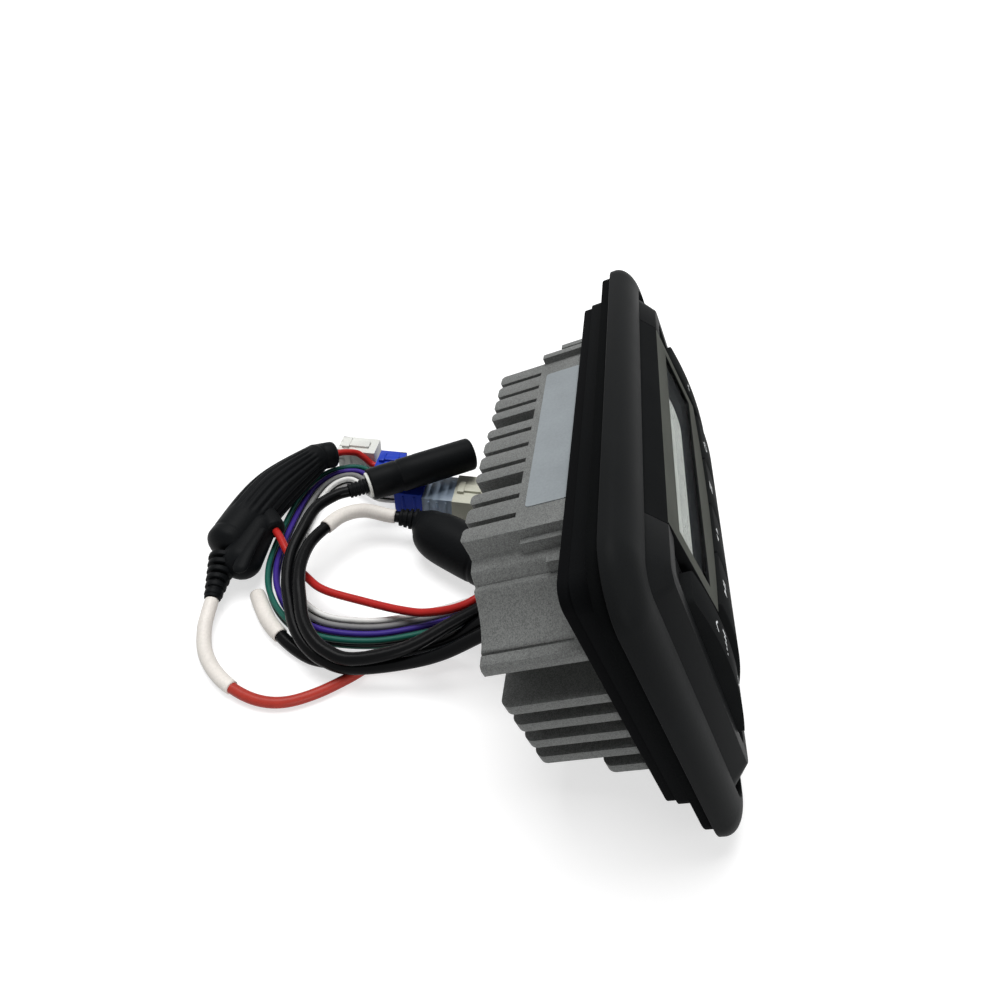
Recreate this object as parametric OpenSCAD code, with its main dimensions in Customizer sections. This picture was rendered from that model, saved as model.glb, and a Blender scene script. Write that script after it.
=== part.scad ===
// Panel-mount stereo head unit with a finned die-cast chassis and a wiring loom.
// It leans back on its chassis, with the loom lying on the surface behind it.
// Panel frame: x to the viewer's right, y up the face, z out of the face, z = 0 at the rear of the trim.

/* [Trim and flange] */
// Width of the trim ring
trim_w = 165; // [150:1:190]
// Height of the trim ring
trim_h = 112; // [104:1:124]
// Corner radius of the trim ring
trim_r = 15.5; // [14:0.5:19]
// Width of the trim ring's band, from its outer edge to the groove
trim_band = 9.7; // [8.5:0.1:11]
// Straight rim at the rear of the trim ring
trim_rim = 1.5; // [1:0.1:2]
// Front height of the trim ring
trim_front = 7.6; // [6:0.1:9]
// Wall of the trim ring
trim_wall = 1.6; // [1.2:0.1:2]
// Thickness of the mounting flange
flange_t = 2.5; // [2:0.1:3]
// Radius of the mounting screw holes
screw_hole_r = 2.1; // [1.6:0.1:2.3]
// Thickness of the foam gasket against the wall
gasket_t = 3.4; // [2:0.1:3.8]
// Depth of the skirt that enters the wall
skirt_depth = 9.6; // [7:0.1:12]
// Step from the trim's edge in to the skirt
skirt_inset = 9; // [8.6:0.1:10]
// Wall of the skirt
skirt_wall = 3; // [2:0.1:3.4]

/* [Face] */
// Height of the front edge of the face panel
face_front = 11.4; // [10.5:0.1:13]
// Width of the slope round the face panel
face_slope = 5.9; // [4:0.1:8]
// Wall of the face panel
face_wall = 2.2; // [1.8:0.1:2.6]
// Depth of the recess inside the face panel's border
recess_depth = 1.2; // [0.6:0.1:1.5]
// Width of the border round the recess
border_w = 4.5; // [3:0.1:5.5]
// Step from a rocker in to the display pod
pod_side = 2.4; // [1.6:0.1:3]
// Height of the display pod, along the face
pod_h = 34; // [30:0.5:36]
// Rise of the display pod from its top edge to its chin
pod_rise = 3.8; // [2:0.1:5]
// Step from the pod's side in to the display window
window_side = 5; // [3.5:0.5:10]
// Height of the display window
window_h = 21; // [16:0.5:24]
// Step from the pod's side in to the row of buttons
row_side = 3.8; // [3.2:0.1:6]
// Height of a button in the row
button_h = 40; // [34:0.5:42]
// Height of the buttons' crowns above the trim's rear
button_crown = 16.6; // [15:0.1:18]
// Width of a rocker
rocker_w = 10.4; // [9:0.1:10.8]
// Height of a rocker
rocker_h = 56; // [46:1:60]
// Height of the rockers' crowns above the trim's rear
rocker_crown = 15.6; // [14:0.1:17]
// Travel of a button
button_travel = 0.7; // [0.4:0.1:0.8]

/* [Chassis] */
// Depth of the chassis behind the trim
chassis_rear = 43.5; // [40:0.5:56]
// Height of the chassis top above the centre line
chassis_top = 43; // [42:0.5:43.5]
// Depth of the chassis bottom under the centre line
chassis_bottom = 36; // [34:0.5:40]
// Half width of the flat top
top_half = 43; // [42:0.5:44]
// Half width of the chassis at the fin tips
fin_tip = 70; // [66:0.5:71]
// Half width of the chassis at the fin roots
side_half = 58; // [57:0.5:60]
// Spacing of the cooling fins
fin_pitch = 8.1; // [7.6:0.1:8.4]
// Thickness of a side fin
fin_t = 3.4; // [2.5:0.1:4]
// Width of a slot between rear fins
slot_w = 2; // [1.5:0.1:2.6]
// Width of the two wide gaps between groups of rear fins
notch_w = 5.5; // [4:0.1:6.5]
// Depth of the rear fins
rear_fin = 15.5; // [12:0.5:16]
// Wall of the chassis
chassis_wall = 3; // [2.5:0.1:3.5]
// Thickness of the chassis flange
chassis_flange = 3.4; // [3:0.1:4]
// Width of the blank label
label_w = 69; // [40:1:76]
// Length of the blank label from front to rear
label_l = 12; // [8:0.5:13]

/* [Electronics] */
// Thickness of the circuit boards
board_t = 1.6; // [1:0.1:2]
// Height of the tact switches
switch_h = 2.1; // [1.6:0.1:2.4]
// Diameter of the filter capacitors
capacitor_d = 10; // [8:0.5:12]

/* [Loom] */
// Diameter of the thin wires
wire_d = 2.2; // [1.6:0.1:2.4]
// Diameter of the sheathed cables
cable_d = 4.6; // [4:0.1:4.8]
// Diameter of the fused supply lead
supply_d = 3.8; // [3:0.1:4]
// Diameter of the remote power wire
power_d = 3; // [2.4:0.1:3.2]
// Diameter of the heat-shrink sleeves
sleeve_d = 5.8; // [5.6:0.1:6.4]
// Diameter of the aerial socket
aerial_d = 14; // [12:0.5:14.5]
// Length of the aerial socket
aerial_l = 44; // [36:1:46]
// Diameter of the aerial socket's bore
aerial_bore_d = 9; // [8:0.1:10]
// Depth of the aerial socket's bore
aerial_bore_l = 20; // [15:0.5:24]

/* [Hidden] */
$fn = 48;
eps = 0.01;
seat_gap = 0.2;
slide_gap = 0.3;
pin_gap = 0.05;
button_gap = 0.6;

// Lean of the whole unit: the trim's bottom edge and the rear fins both touch the surface
lean = atan2(trim_h / 2 - chassis_bottom, chassis_rear);

// Trim ring profile, as step in from the edge and height above the trim's rear
profile_step = 15;
trim_inner = trim_band - trim_wall;
trim_profile = concat(
    [[0, 0]],
    [for (a = [0 : profile_step : 90])
        [trim_band * (1 - cos(a)), trim_rim + (trim_front - trim_rim) * sin(a)]],
    [[trim_band, flange_t], [trim_inner, flange_t]],
    [for (a = [90 : -profile_step : 0])
        [trim_wall + (trim_inner - trim_wall) * (1 - cos(a)),
         trim_rim + (trim_front - trim_rim - trim_wall) * sin(a)]],
    [[trim_wall, 0]]
);

// Middle of the leaned unit from front to rear
front_reach = min([for (p = trim_profile) p[0] * sin(lean) - p[1] * cos(lean)]);
rear_reach = chassis_rear * cos(lean) + (trim_h / 2 + chassis_top) * sin(lean);
stand_mid = (front_reach + rear_reach) / 2;

// Flange, gasket, skirt, seal and chassis flange, stepped in from the trim's edge
flange_inset = trim_wall + 0.6;
gasket_inset = 2;
opening_inset = 20;
seal_inset = skirt_inset + 1;
seal_w = 3.3;
seal_depth = 3.3;
chassis_inset = seal_inset + seal_w + seat_gap;
screw_ring = (trim_r - flange_inset + trim_r - skirt_inset) / 2;
screw_x = trim_w / 2 - trim_r + screw_ring * cos(45);
screw_y = trim_h / 2 - trim_r + screw_ring * sin(45);

// Screws that hold the chassis to the front housing
boss_r = 4;
boss_x = trim_w / 2 - skirt_inset - skirt_wall - boss_r - 3;
boss_y = trim_h / 2 - skirt_inset - skirt_wall - boss_r - 2.5;
chassis_screw_r = 1.4;
chassis_screw_l = 9;
screw_head_r = 2.8;
screw_head_h = 2;

// Face panel and its openings
face_inset = trim_band + 0.6;
face_r = 10;
face_rim = 6.5;
face_edge = face_inset + face_slope;
face_half_w = trim_w / 2 - face_edge;
face_half_h = trim_h / 2 - face_edge;
recess_half_w = face_half_w - border_w;
recess_half_h = face_half_h - border_w;
face_plate = face_front - face_wall;
pod_w = 2 * (recess_half_w - rocker_w - pod_side);
window_w = pod_w - 2 * window_side;
pod_tilt = atan(pod_rise / pod_h);
pod_top = face_half_h;
pod_chin = pod_top - pod_h;
chin_sag = 4;
chin_r = (pow(pod_w / 2, 2) + pow(chin_sag, 2)) / (2 * chin_sag);
chin_y = pod_chin - chin_sag + chin_r;
pod_hood_half = pod_w / 2 + 0.5;
pod_seat = 1;
window_drop = 8;
lens_t = 1.2;
lens_recess = 0.4;
row_count = 4;
row_half = pod_w / 2 - row_side;
row_pitch = 2 * row_half / row_count;
button_w = row_pitch - button_gap;
row_bottom = -recess_half_h + 1.5;
row_top = row_bottom + button_h;
row_crown_y = -6;
row_crown_r = 90;
rocker_x = recess_half_w - rocker_w / 2 - slide_gap;
rocker_y = -2;
rocker_crown_r = 140;
rocker_pin_r = 1.2;
rocker_pin_z = face_plate - 1.8;
lug_t = 1.8;
key_flange = 1;

// Front board, its switches and the display module
front_board_inset = 17;
front_board_top = flange_t + board_t;
switch_w = 6;
switch_top = front_board_top + switch_h;
stem_gap = 0.2;
stem_bottom = switch_top + button_travel + stem_gap;
rocker_switch_y = 18;
glass_t = 1.8;
display_w = window_w + 4;
display_h = window_h + 3;
socket_h = 4;
socket_t = 5;
socket_side = 2;
ribbon_w = 20;
ribbon_t = 0.5;
ribbon_y = -26;

// Chassis section
shoulder_y = chassis_top - 6;
shoulder_x = top_half + 4.7;
groove_x = shoulder_x + 2;
ridge_x = shoulder_x + 4.5;
ridge_y = shoulder_y - 5;
groove_y = ridge_y + 0.6;
edge_cut = 0.8;
lip_x = fin_tip - 1;
lip_y = 23.4;
lip_face = 4.6;
cove_end_x = lip_x - 4;
cove_r = 19;
cove_mid = [(ridge_x + cove_end_x) / 2, (ridge_y + lip_y) / 2];
cove_chord = norm([cove_end_x - ridge_x, ridge_y - lip_y]);
cove_reach = sqrt(pow(cove_r, 2) - pow(cove_chord / 2, 2));
cove_c = cove_mid + cove_reach * [ridge_y - lip_y, cove_end_x - ridge_x] / cove_chord;
lip_root = 9;
foot_x = 48;
foot_y = -24;
slot_count = 10;
slot_x = [for (k = [0 : slot_count - 1]) (k - (slot_count - 1) / 2) * fin_pitch];
notches = [2, 6];
body_front = skirt_depth + chassis_flange;
fin_root = chassis_rear - rear_fin;
cavity_rear = fin_root - chassis_wall;
cavity_half = 50;
cavity_top_half = 37;
cavity_bottom = -chassis_bottom + chassis_wall + 2;
cavity_mid = 14;
cavity_top = chassis_top - chassis_wall - 1.5;
fin_first = 5.4;
fin_count = 4;
fin_round = 3;
fin_corner = 1.5;
short_fin_rear = 26;
pad_half = 26;
pad_y0 = -20;
pad_y1 = 6;
pad_rear = chassis_rear - 2.5;
rib_medium_rear = 27;
rib_medium_w = 2.8;
rib_short_rear = 20.8;
rib_short_w = 2.5;
rib_short_step = 4.5;
left_rib_tops = [chassis_top - 2.8, shoulder_y - 0.5];
right_rib_tops = [chassis_top + 2.2, chassis_top + 1.5];

// Main board on its posts
board_rear = 16;
board_front = board_rear - board_t;
post_r = 3;
post_hole_r = 1.25;
low_inset = [8, 7];
high_inset = [6, 8.5];
low_post = [cavity_half - low_inset[0], cavity_bottom + low_inset[1]];
high_post = [cavity_top_half - high_inset[0], cavity_top - high_inset[1]];
posts = [for (side = [-1, 1], p = [low_post, high_post]) [side * p[0], p[1]]];
board_clear = 2;
chip_w = 27;
chip_h = 13;
chip_t = 4.5;
chip_y = 24;
clamp_t = 1.5;
clamp_reach = 4;
clamp_h = 6;
rear_clear = 1.5;
capacitor_gap = 1;
capacitor_x = [-cavity_half + capacitor_d / 2 + capacitor_gap, 2, 13];
capacitor_y = -11;
tuner_w = 18;
tuner_gap = 5;
tuner_x = cavity_half - tuner_w - tuner_gap;
tuner_y = -8;
tuner_h = 20;
header_w = 26;
header_h = 8;
header_t = 6;

// Grommet at the rear, with the exits of the cords
grommet_w = 42;
grommet_h = 18;
grommet_x = -18;
grommet_y = -7;
exit_z = chassis_rear + 1.5;
duct_w = 34;
duct_h = 11;
lane_pitch = 3;
lane_rise = 2.8;
lane_cols = 4;
wire_lanes = 8;
cable_row_y = -2.5;
loom_row_y = -9.8;
supply_exit_x = grommet_x - 14.5;
aerial_exit_x = grommet_x - 15;
aux_exit_x = grommet_x - 8.5;
remote_exit_x = grommet_x - 2;
power_exit_x = grommet_x + 6;
loom_exit_x = grommet_x + 4;
exit_run = 11;

// Point of the panel frame in the frame of the leaned unit
function stand_pt(p) = [
    p[0],
    (p[1] + trim_h / 2) * sin(lean) - p[2] * cos(lean) - stand_mid,
    (p[1] + trim_h / 2) * cos(lean) + p[2] * sin(lean)
];
function cord_exit(x, y) = [stand_pt([x, y, -exit_z]), stand_pt([x, y, -exit_z - exit_run])];

// Cord routes behind the unit, from the grommet to the far end
aerial_back = [41, 95, 18.2];
aerial_dir = [24, -37, 2] / norm([24, -37, 2]);
aerial_relief_l = 10;
aerial_ring_t = 1.5;
plug_back = [30.6, 73.6, 10.3];
plug_dir = [1, -28, -3] / norm([1, -28, -3]);
plug_relief_l = 8;
// Swelling of the plug's moulding, as centre and radius
plug_body = [[[27.4, 69.5, 10.3], 7.6], [[22.6, 64, 10.3], 10],
    [[16.5, 53, 10.6], 10.4], [[11, 42, 10.6], 10.4]];
fuse_top = [59.6, 125.2, 14.5];
// Swelling of the fuse holder, as centre and radius from its top end to its foot
fuse_body = [[fuse_top, 6.2], [[35, 137, 12.5], 9.4], [[6, 143, 10.5], 8.8]];
boot_dir = [0.62, -0.75, -0.15] / norm([0.62, -0.75, -0.15]);
boot_l = 8;
boot_r = 5.8;
lobe_end = [14, 127, 12.5];
lobe_dir = [-0.75, -0.66, 0] / norm([-0.75, -0.66, 0]);
lobe_r = 4.2;
lobe_l = 10;
// Clip-on half of the fuse holder, as centre and radius at both ends
fuse_shell = [[[0, 135.5, 9], 7.5], [[15, 134, 11.5], 6]];
fuse_relief_end = [-18, 140, 6.2];
fuse_relief_dir = [-0.97, -0.12, -0.2] / norm([-0.97, -0.12, -0.2]);
fuse_relief_l = 18;
aerial_route = concat(cord_exit(aerial_exit_x, cable_row_y), [
    [-36.5, 50.5, 15.2], [-38.8, 64.5, 10], [-41, 81, 7.4], [-39.5, 90.5, 7.8], [-35.5, 98, 9],
    [-29, 104, 10.2], [-20, 109, 11.4], [-11, 113, 12.8], [0.5, 115.5, 14.6], [11.5, 115, 16.4],
    [23.5, 113.5, 17.6]],
    [aerial_back - (aerial_relief_l + 6) * aerial_dir, aerial_back - aerial_relief_l * aerial_dir]);
remote_route = concat(cord_exit(remote_exit_x, cable_row_y), [
    [-27, 48.5, 19.8], [-36.5, 63.5, 15], [-41, 80, 12.4], [-39, 89.5, 12.7], [-34.5, 96, 13.4],
    [-28, 101, 14], [-20.5, 104.5, 14.8], [-13, 107.5, 15.8], [-4.5, 109.5, 16.4], [5.5, 109.5, 16.6],
    [15, 106.6, 16.2], [23.4, 102.5, 15.6], [28.8, 95.6, 14.2]],
    [plug_back - (plug_relief_l + 5) * plug_dir, plug_back - plug_relief_l * plug_dir]);
aux_route = concat(cord_exit(aux_exit_x, cable_row_y), [
    [-28.8, 50, 12.3], [-31.4, 63, 8.2], [-34, 73, 6.8], [-36.2, 81, 5.6], [-36.8, 87, 3.8],
    [-36.2, 92.5, 2.6], [-35.2, 98, 2.4], [-32.2, 104.5, 2.5], [-28, 111, 2.9], [-23, 117, 3.1],
    [-17, 122, 3.1], [-10.8, 126.5, 3.1]]);
power_route = concat(cord_exit(power_exit_x, cable_row_y), [
    [-19.5, 46, 20.5], [-20.5, 58.5, 15.5], [-18.5, 69, 12.6], [-14.5, 84.5, 10.4], [-10.5, 100, 9.4],
    [-5, 108.5, 9.2], [0.5, 115, 10], [5, 119.5, 11.6]],
    [lobe_end + 5 * lobe_dir, lobe_end]);
supply_route = concat([for (l = [0, 2.5, 6]) fuse_relief_end + l * fuse_relief_dir], [
    [-30, 138, 3.9], [-38.5, 134, 3.1], [-45.5, 127.5, 2.8], [-51, 119, 2.7], [-54, 109.5, 2.3],
    [-53.5, 100.5, 2.1], [-49, 91.5, 2.1], [-43, 83, 2.1], [-36.5, 74, 2.1], [-32, 64.5, 2.5],
    [-31.4, 52.5, 6.7]],
    [cord_exit(supply_exit_x, loom_row_y)[1], cord_exit(supply_exit_x, loom_row_y)[0]]);
tail_route = concat([fuse_top + boot_l * boot_dir, fuse_top + (boot_l + 4) * boot_dir], [
    [70.3, 111.4, 10.4], [70.4, 107.8, 7.8], [69.8, 105, 5.5], [69.5, 103.2, 5], [69.5, 101.6, 5]]);
loom_route = concat(cord_exit(loom_exit_x, loom_row_y), [
    [-17.5, 46.5, 13], [-19.5, 59, 8], [-23.5, 75.5, 5.2], [-24.5, 90.5, 4.4], [-22.5, 101, 4.2],
    [-16.5, 110.5, 4], [-7.5, 118, 3.8], [2, 122, 3.8], [12.5, 123.8, 3.6], [26, 124.8, 3.2],
    [39, 125, 3.1], [51, 123.4, 3.3], [58.5, 118, 4.4], [60.5, 109.5, 5.5], [56.5, 101.5, 5.5],
    [52.5, 95, 5.5], [52.5, 88, 5.5]]);
lanes = [for (i = [0 : wire_lanes - 1])
    [(i % lane_cols - (lane_cols - 1) / 2) * lane_pitch, (floor(i / lane_cols) - 0.5) * lane_rise]];

// Connectors on the loom, as low corner and size
blue_box = [[45, 76, 0], [15, 12, 11]];
clear_box = [[44.5, 63, 0], [16, 13, 10]];
cream_box = [[43, 49, 0], [18, 14, 11]];
white_box = [[72.4, 104, 0], [11, 17.5, 9.5]];
adapter_box = [[63.5, 89.5, 0], [12, 12, 9.5]];

// Cords: sides of a tube and steps between route points
cord_sides = 8;
thin_steps = 3;
thick_steps = 2;

function unit(v) = v / norm(v);
function side_of(d) = unit(cross(d, [0, 0, 1]));
function tangent(path, i) = unit(
    path[min(i + 1, len(path) - 1)] - path[max(i - 1, 0)]);
// Catmull-Rom curve through the route's points
function curve_pt(a, b, c, d, t) = 0.5 * (2 * b + (c - a) * t + (2 * a - 5 * b + 4 * c - d) * t * t
    + (3 * b - a - 3 * c + d) * t * t * t);
function smooth(r, steps) = [for (i = [0 : len(r) - 2]) for (k = [0 : steps - (i < len(r) - 2 ? 1 : 0)])
    curve_pt(r[max(i - 1, 0)], r[i], r[i + 1], r[min(i + 2, len(r) - 1)], k / steps)];
// Route of one wire beside the loom's middle line
function lane_route(r, lane) = [for (i = [0 : len(r) - 1])
    let (d = tangent(r, i), s = side_of(d)) r[i] - lane[0] * s + lane[1] * cross(s, d)];
// Stretch of a curve between two of its points
function stretch(path, a, b) = [for (i = [a : b]) path[i]];
// Directions in which a route leaves its start and reaches its end
function ends_of(r) = [unit(r[1] - r[0]), unit(r[len(r) - 1] - r[len(r) - 2])];

aerial_path = smooth(aerial_route, thick_steps);
remote_path = smooth(remote_route, thick_steps);
aux_path = smooth(aux_route, thick_steps);
supply_path = smooth(supply_route, thick_steps);
remote_sleeve_points = 8;
aux_sleeve_points = 6;
supply_sleeve_points = 12;
sleeve_step = 0.8;

// Places the panel frame so that the unit leans back on the surface
module stand() {
    translate([0, -stand_mid, 0]) rotate([90 - lean, 0, 0]) translate([0, trim_h / 2, 0]) children();
}

// Rounded rectangle, stepped in from the trim's outline
module outline(inset, r = trim_r) {
    w = trim_w - 2 * inset;
    h = trim_h - 2 * inset;
    corner = max(r - inset, 1);
    rounded(w, h, corner);
}

module rounded(w, h, r) {
    square([w - 2 * r, h], center = true);
    square([w, h - 2 * r], center = true);
    for (x = [-1, 1], y = [-1, 1]) translate([x * (w / 2 - r), y * (h / 2 - r)]) circle(r);
}

module slab(z0, z1) {
    translate([0, 0, z0]) linear_extrude(z1 - z0) children();
}

// Sweeps a profile of steps and heights round a rounded rectangle
module sweep_round(w, h, r, profile) {
    for (q = [0 : 3]) {
        across = q % 2 == 0 ? w : h;
        along = q % 2 == 0 ? h : w;
        rotate([0, 0, 90 * q]) {
            translate([across / 2 - r, along / 2 - r, 0]) rotate_extrude(angle = 90)
                polygon([for (p = profile) [r - p[0], p[1]]]);
            translate([across / 2, along / 2 - r, 0]) rotate([90, 0, 0]) linear_extrude(along - 2 * r)
                polygon([for (p = profile) [-p[0], p[1]]]);
        }
    }
}

module at_corners(x, y) {
    for (i = [-1, 1], j = [-1, 1]) translate([i * x, j * y, 0]) children();
}

module both_sides() {
    children();
    mirror([1, 0, 0]) children();
}

module trim_ring() {
    color("#26282a") stand() sweep_round(trim_w, trim_h, trim_r, trim_profile);
}

module wall_gasket() {
    color("#101112") stand() difference() {
        slab(-gasket_t, 0) difference() {
            outline(gasket_inset);
            outline(skirt_inset - seat_gap);
        }
        at_corners(screw_x, screw_y) translate([0, 0, -gasket_t - 1])
            cylinder(r = screw_hole_r + seat_gap, h = gasket_t + 2);
    }
}

module front_housing() {
    color("#1d1f20") stand() difference() {
        union() {
            slab(0, flange_t) difference() {
                outline(flange_inset);
                rounded(trim_w - 2 * opening_inset, trim_h - 2 * opening_inset, 4);
            }
            slab(-skirt_depth, eps) difference() {
                outline(skirt_inset);
                outline(skirt_inset + skirt_wall);
            }
            at_corners(boss_x, boss_y) translate([0, 0, -skirt_depth])
                cylinder(r = boss_r, h = skirt_depth + eps);
        }
        at_corners(screw_x, screw_y) translate([0, 0, -1]) cylinder(r = screw_hole_r, h = flange_t + 2);
        at_corners(boss_x, boss_y) translate([0, 0, -skirt_depth - 1])
            cylinder(r = chassis_screw_r, h = chassis_screw_l);
    }
}

// Sloped shell round the face, with its flat front plate
module face_shell() {
    w = trim_w - 2 * face_inset;
    h = trim_h - 2 * face_inset;
    sweep_round(w, h, face_r, [
        [0, flange_t], [0, face_rim], [face_slope, face_front],
        [face_slope + eps, face_plate], [face_wall, face_rim - 1], [face_wall, flange_t]
    ]);
    slab(face_plate, face_front) rounded(w - 2 * face_slope, h - 2 * face_slope, face_r - face_slope);
}

// Space that the display pod takes out of the face panel
module pod_space(gap) {
    translate([-pod_hood_half - gap, row_top - chin_sag, 0])
        cube([2 * (pod_hood_half + gap), trim_h, face_front + 2 * pod_rise]);
}

module rocker_outline(gap) {
    translate([0, rocker_y]) rounded(rocker_w + 2 * gap, rocker_h + 2 * gap, 2 + gap);
}

module face_panel() {
    color("#1b1d1e") stand() {
        difference() {
            face_shell();
            pod_space(seat_gap);
            slab(face_front - recess_depth, face_front + 1)
                rounded(2 * recess_half_w, 2 * recess_half_h, 2);
            slab(0, face_front + 1) translate([0, row_bottom - slide_gap])
                translate([-row_half, 0]) square([2 * row_half, button_h + 2 * slide_gap]);
            both_sides() slab(0, face_front + 1) translate([rocker_x, 0]) rocker_outline(slide_gap);
        }
        rocker_lugs();
    }
}

// Ears behind the face plate that carry the rockers' pins
module rocker_lugs() {
    lug_w = 2 * rocker_pin_r + 3;
    for (side = [-1, 1], end = [-1, 1])
        translate([side * rocker_x + end * (rocker_w / 2 + slide_gap + lug_t / 2), rocker_y, rocker_pin_z])
            difference() {
                translate([-lug_t / 2, -lug_w / 2, -lug_w / 2])
                    cube([lug_t, lug_w, lug_w / 2 + face_plate - rocker_pin_z + eps]);
                rotate([0, 90, 0]) cylinder(r = rocker_pin_r + pin_gap, h = 2 * lug_t, center = true);
            }
}

// Frame of the pod's tilted front: origin at the middle of its top edge, z out of the glass
module on_pod() {
    translate([0, pod_top, face_front]) rotate([-pod_tilt, 0, 0]) children();
}

module pod_outline() {
    intersection() {
        translate([-pod_w / 2, pod_chin - chin_sag]) square([pod_w, pod_h + chin_sag]);
        translate([0, chin_y]) circle(chin_r, $fn = 96);
    }
}

module display_pod() {
    pod_base = face_plate - pod_seat;
    color("#2a2c2d") stand() difference() {
        union() {
            intersection() {
                face_shell();
                pod_space(0);
                translate([-trim_w, pod_top, 0]) cube([2 * trim_w, trim_h, face_front + 1]);
            }
            difference() {
                slab(pod_base, face_front + 2 * pod_rise) pod_outline();
                on_pod() translate([-trim_w, -trim_h, 0]) cube([2 * trim_w, 2 * trim_h, trim_h]);
            }
        }
        on_pod() translate([-window_w / 2, -window_drop - window_h, -2 * face_front])
            cube([window_w, window_h, 3 * face_front]);
        on_pod() display_block(seat_gap, -2 * face_front, -lens_recess - lens_t);
    }
}

// Block behind the window, in the pod's frame, grown by a gap all round
module display_block(gap, z0, z1) {
    translate([-display_w / 2 - gap, -window_drop - window_h / 2 - display_h / 2 - gap, z0])
        cube([display_w + 2 * gap, display_h + 2 * gap, z1 - z0]);
}

module display_lens() {
    color("#8a8f90") stand() on_pod()
        translate([-window_w / 2, -window_drop - window_h, -lens_recess - lens_t])
            cube([window_w, window_h, lens_t]);
}

module lcd_glass() {
    color("#aeb4b0") stand() on_pod()
        display_block(0, -lens_recess - lens_t - glass_t, -lens_recess - lens_t);
}

module lcd_backlight() {
    color("#e8ebe6") stand() intersection() {
        on_pod() display_block(0, -2 * face_front, -lens_recess - lens_t - glass_t);
        translate([-trim_w, -trim_h, front_board_top]) cube([2 * trim_w, 2 * trim_h, trim_h]);
    }
}

// Rocker on a pin across its middle, with a stem over each switch
module rocker(side) {
    base = face_plate - slide_gap - key_flange;
    stand() translate([side * rocker_x, 0, 0]) {
        intersection() {
            slab(base, rocker_crown + 1) rocker_outline(0);
            translate([0, rocker_y, rocker_crown - rocker_crown_r]) rotate([0, 90, 0])
                cylinder(r = rocker_crown_r, h = 2 * rocker_w, center = true, $fn = 180);
        }
        translate([0, rocker_y, rocker_pin_z]) rotate([0, 90, 0])
            cylinder(r = rocker_pin_r, h = rocker_w + 2 * slide_gap + 2 * lug_t, center = true);
        translate([-rocker_w / 2 + 2, rocker_y - rocker_pin_r, rocker_pin_z])
            cube([rocker_w - 4, 2 * rocker_pin_r, base - rocker_pin_z + eps]);
        for (end = [-1, 1]) translate([-1.5, rocker_y + end * rocker_switch_y - 1.5, stem_bottom + 0.2])
            cube([3, 3, base - stem_bottom]);
    }
}

module volume_rocker() { color("#222425") rocker(-1); }
module track_rocker() { color("#222425") rocker(1); }

// Button of the row: domed crown, top edge along the pod's chin, stem over its switch
module row_button(i) {
    x = (i - (row_count - 1) / 2) * row_pitch;
    base = face_plate - slide_gap - key_flange;
    stand() {
        intersection() {
            slab(base, button_crown + 1) difference() {
                translate([x - button_w / 2, row_bottom]) square([button_w, button_h]);
                translate([0, chin_y]) circle(chin_r + button_gap, $fn = 96);
            }
            translate([x, row_crown_y, button_crown - row_crown_r]) rotate([0, 90, 0])
                cylinder(r = row_crown_r, h = 2 * button_w, center = true, $fn = 180);
        }
        translate([x - 1.5, button_switch_y() - 1.5, stem_bottom]) cube([3, 3, base - stem_bottom + eps]);
    }
}

function button_switch_y() = row_bottom + button_h / 2 - 3;

module source_button() { color("#1f2122") row_button(0); }
module band_button() { color("#1f2122") row_button(1); }
module menu_button() { color("#1f2122") row_button(2); }
module power_button() { color("#1f2122") row_button(3); }

module front_board() {
    color("#1f5a34") stand() slab(flange_t, front_board_top)
        rounded(trim_w - 2 * front_board_inset, trim_h - 2 * front_board_inset, 3);
}

module tact_switches() {
    at = concat(
        [for (i = [0 : row_count - 1]) [(i - (row_count - 1) / 2) * row_pitch, button_switch_y()]],
        [for (s = [-1, 1], e = [-1, 1]) [s * rocker_x, rocker_y + e * rocker_switch_y]]);
    color("#3a3a3c") stand() for (p = at) translate([p[0], p[1], front_board_top]) {
        translate([-switch_w / 2, -switch_w / 2, 0]) cube([switch_w, switch_w, switch_h - 0.5]);
        cylinder(r = 1.6, h = switch_h);
    }
}

module ribbon_block(z0, z1, w, t) {
    translate([-w / 2, ribbon_y - t / 2, z0]) cube([w, t, z1 - z0]);
}

module front_socket() {
    color("#d9d2bd") stand()
        ribbon_block(flange_t - socket_h, flange_t, ribbon_w + 2 * socket_side, socket_t);
}

module ribbon_cable() {
    color("#c8c9c6") stand() ribbon_block(-board_front + socket_h, flange_t - socket_h, ribbon_w, ribbon_t);
}

module main_socket() {
    color("#d9d2bd") stand()
        ribbon_block(-board_front, -board_front + socket_h, ribbon_w + 2 * socket_side, socket_t);
}

// Plan of the chassis cavity, drawn in by a clearance for the board
module cavity_plan(gap) {
    translate([-cavity_half + gap, cavity_bottom + gap])
        square([2 * (cavity_half - gap), cavity_mid - cavity_bottom - gap]);
    translate([-cavity_top_half + gap, cavity_bottom + gap])
        square([2 * (cavity_top_half - gap), cavity_top - cavity_bottom - 2 * gap]);
}

module main_board() {
    color("#1f5a34") stand() difference() {
        slab(-board_rear, -board_front) cavity_plan(board_clear);
        for (p = posts) translate([p[0], p[1], -board_rear - 1]) cylinder(r = post_hole_r, h = board_t + 2);
    }
}

module board_screws() {
    color("#b9bcc0") stand() for (p = posts) translate([p[0], p[1], -board_front]) {
        cylinder(r = screw_head_r, h = 1.6);
        translate([0, 0, -board_t - 4]) cylinder(r = post_hole_r - pin_gap, h = board_t + 4 + eps);
    }
}

module amplifier_chip() {
    color("#17181a") stand() {
        translate([-chip_w / 2, chip_y - chip_h / 2, -cavity_rear]) cube([chip_w, chip_h, chip_t]);
        translate([-chip_w / 2 + 1, chip_y - chip_h / 2 - 1, -cavity_rear + chip_t / 2])
            cube([chip_w - 2, 1 + eps, cavity_rear - board_rear - chip_t / 2]);
    }
}

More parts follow.
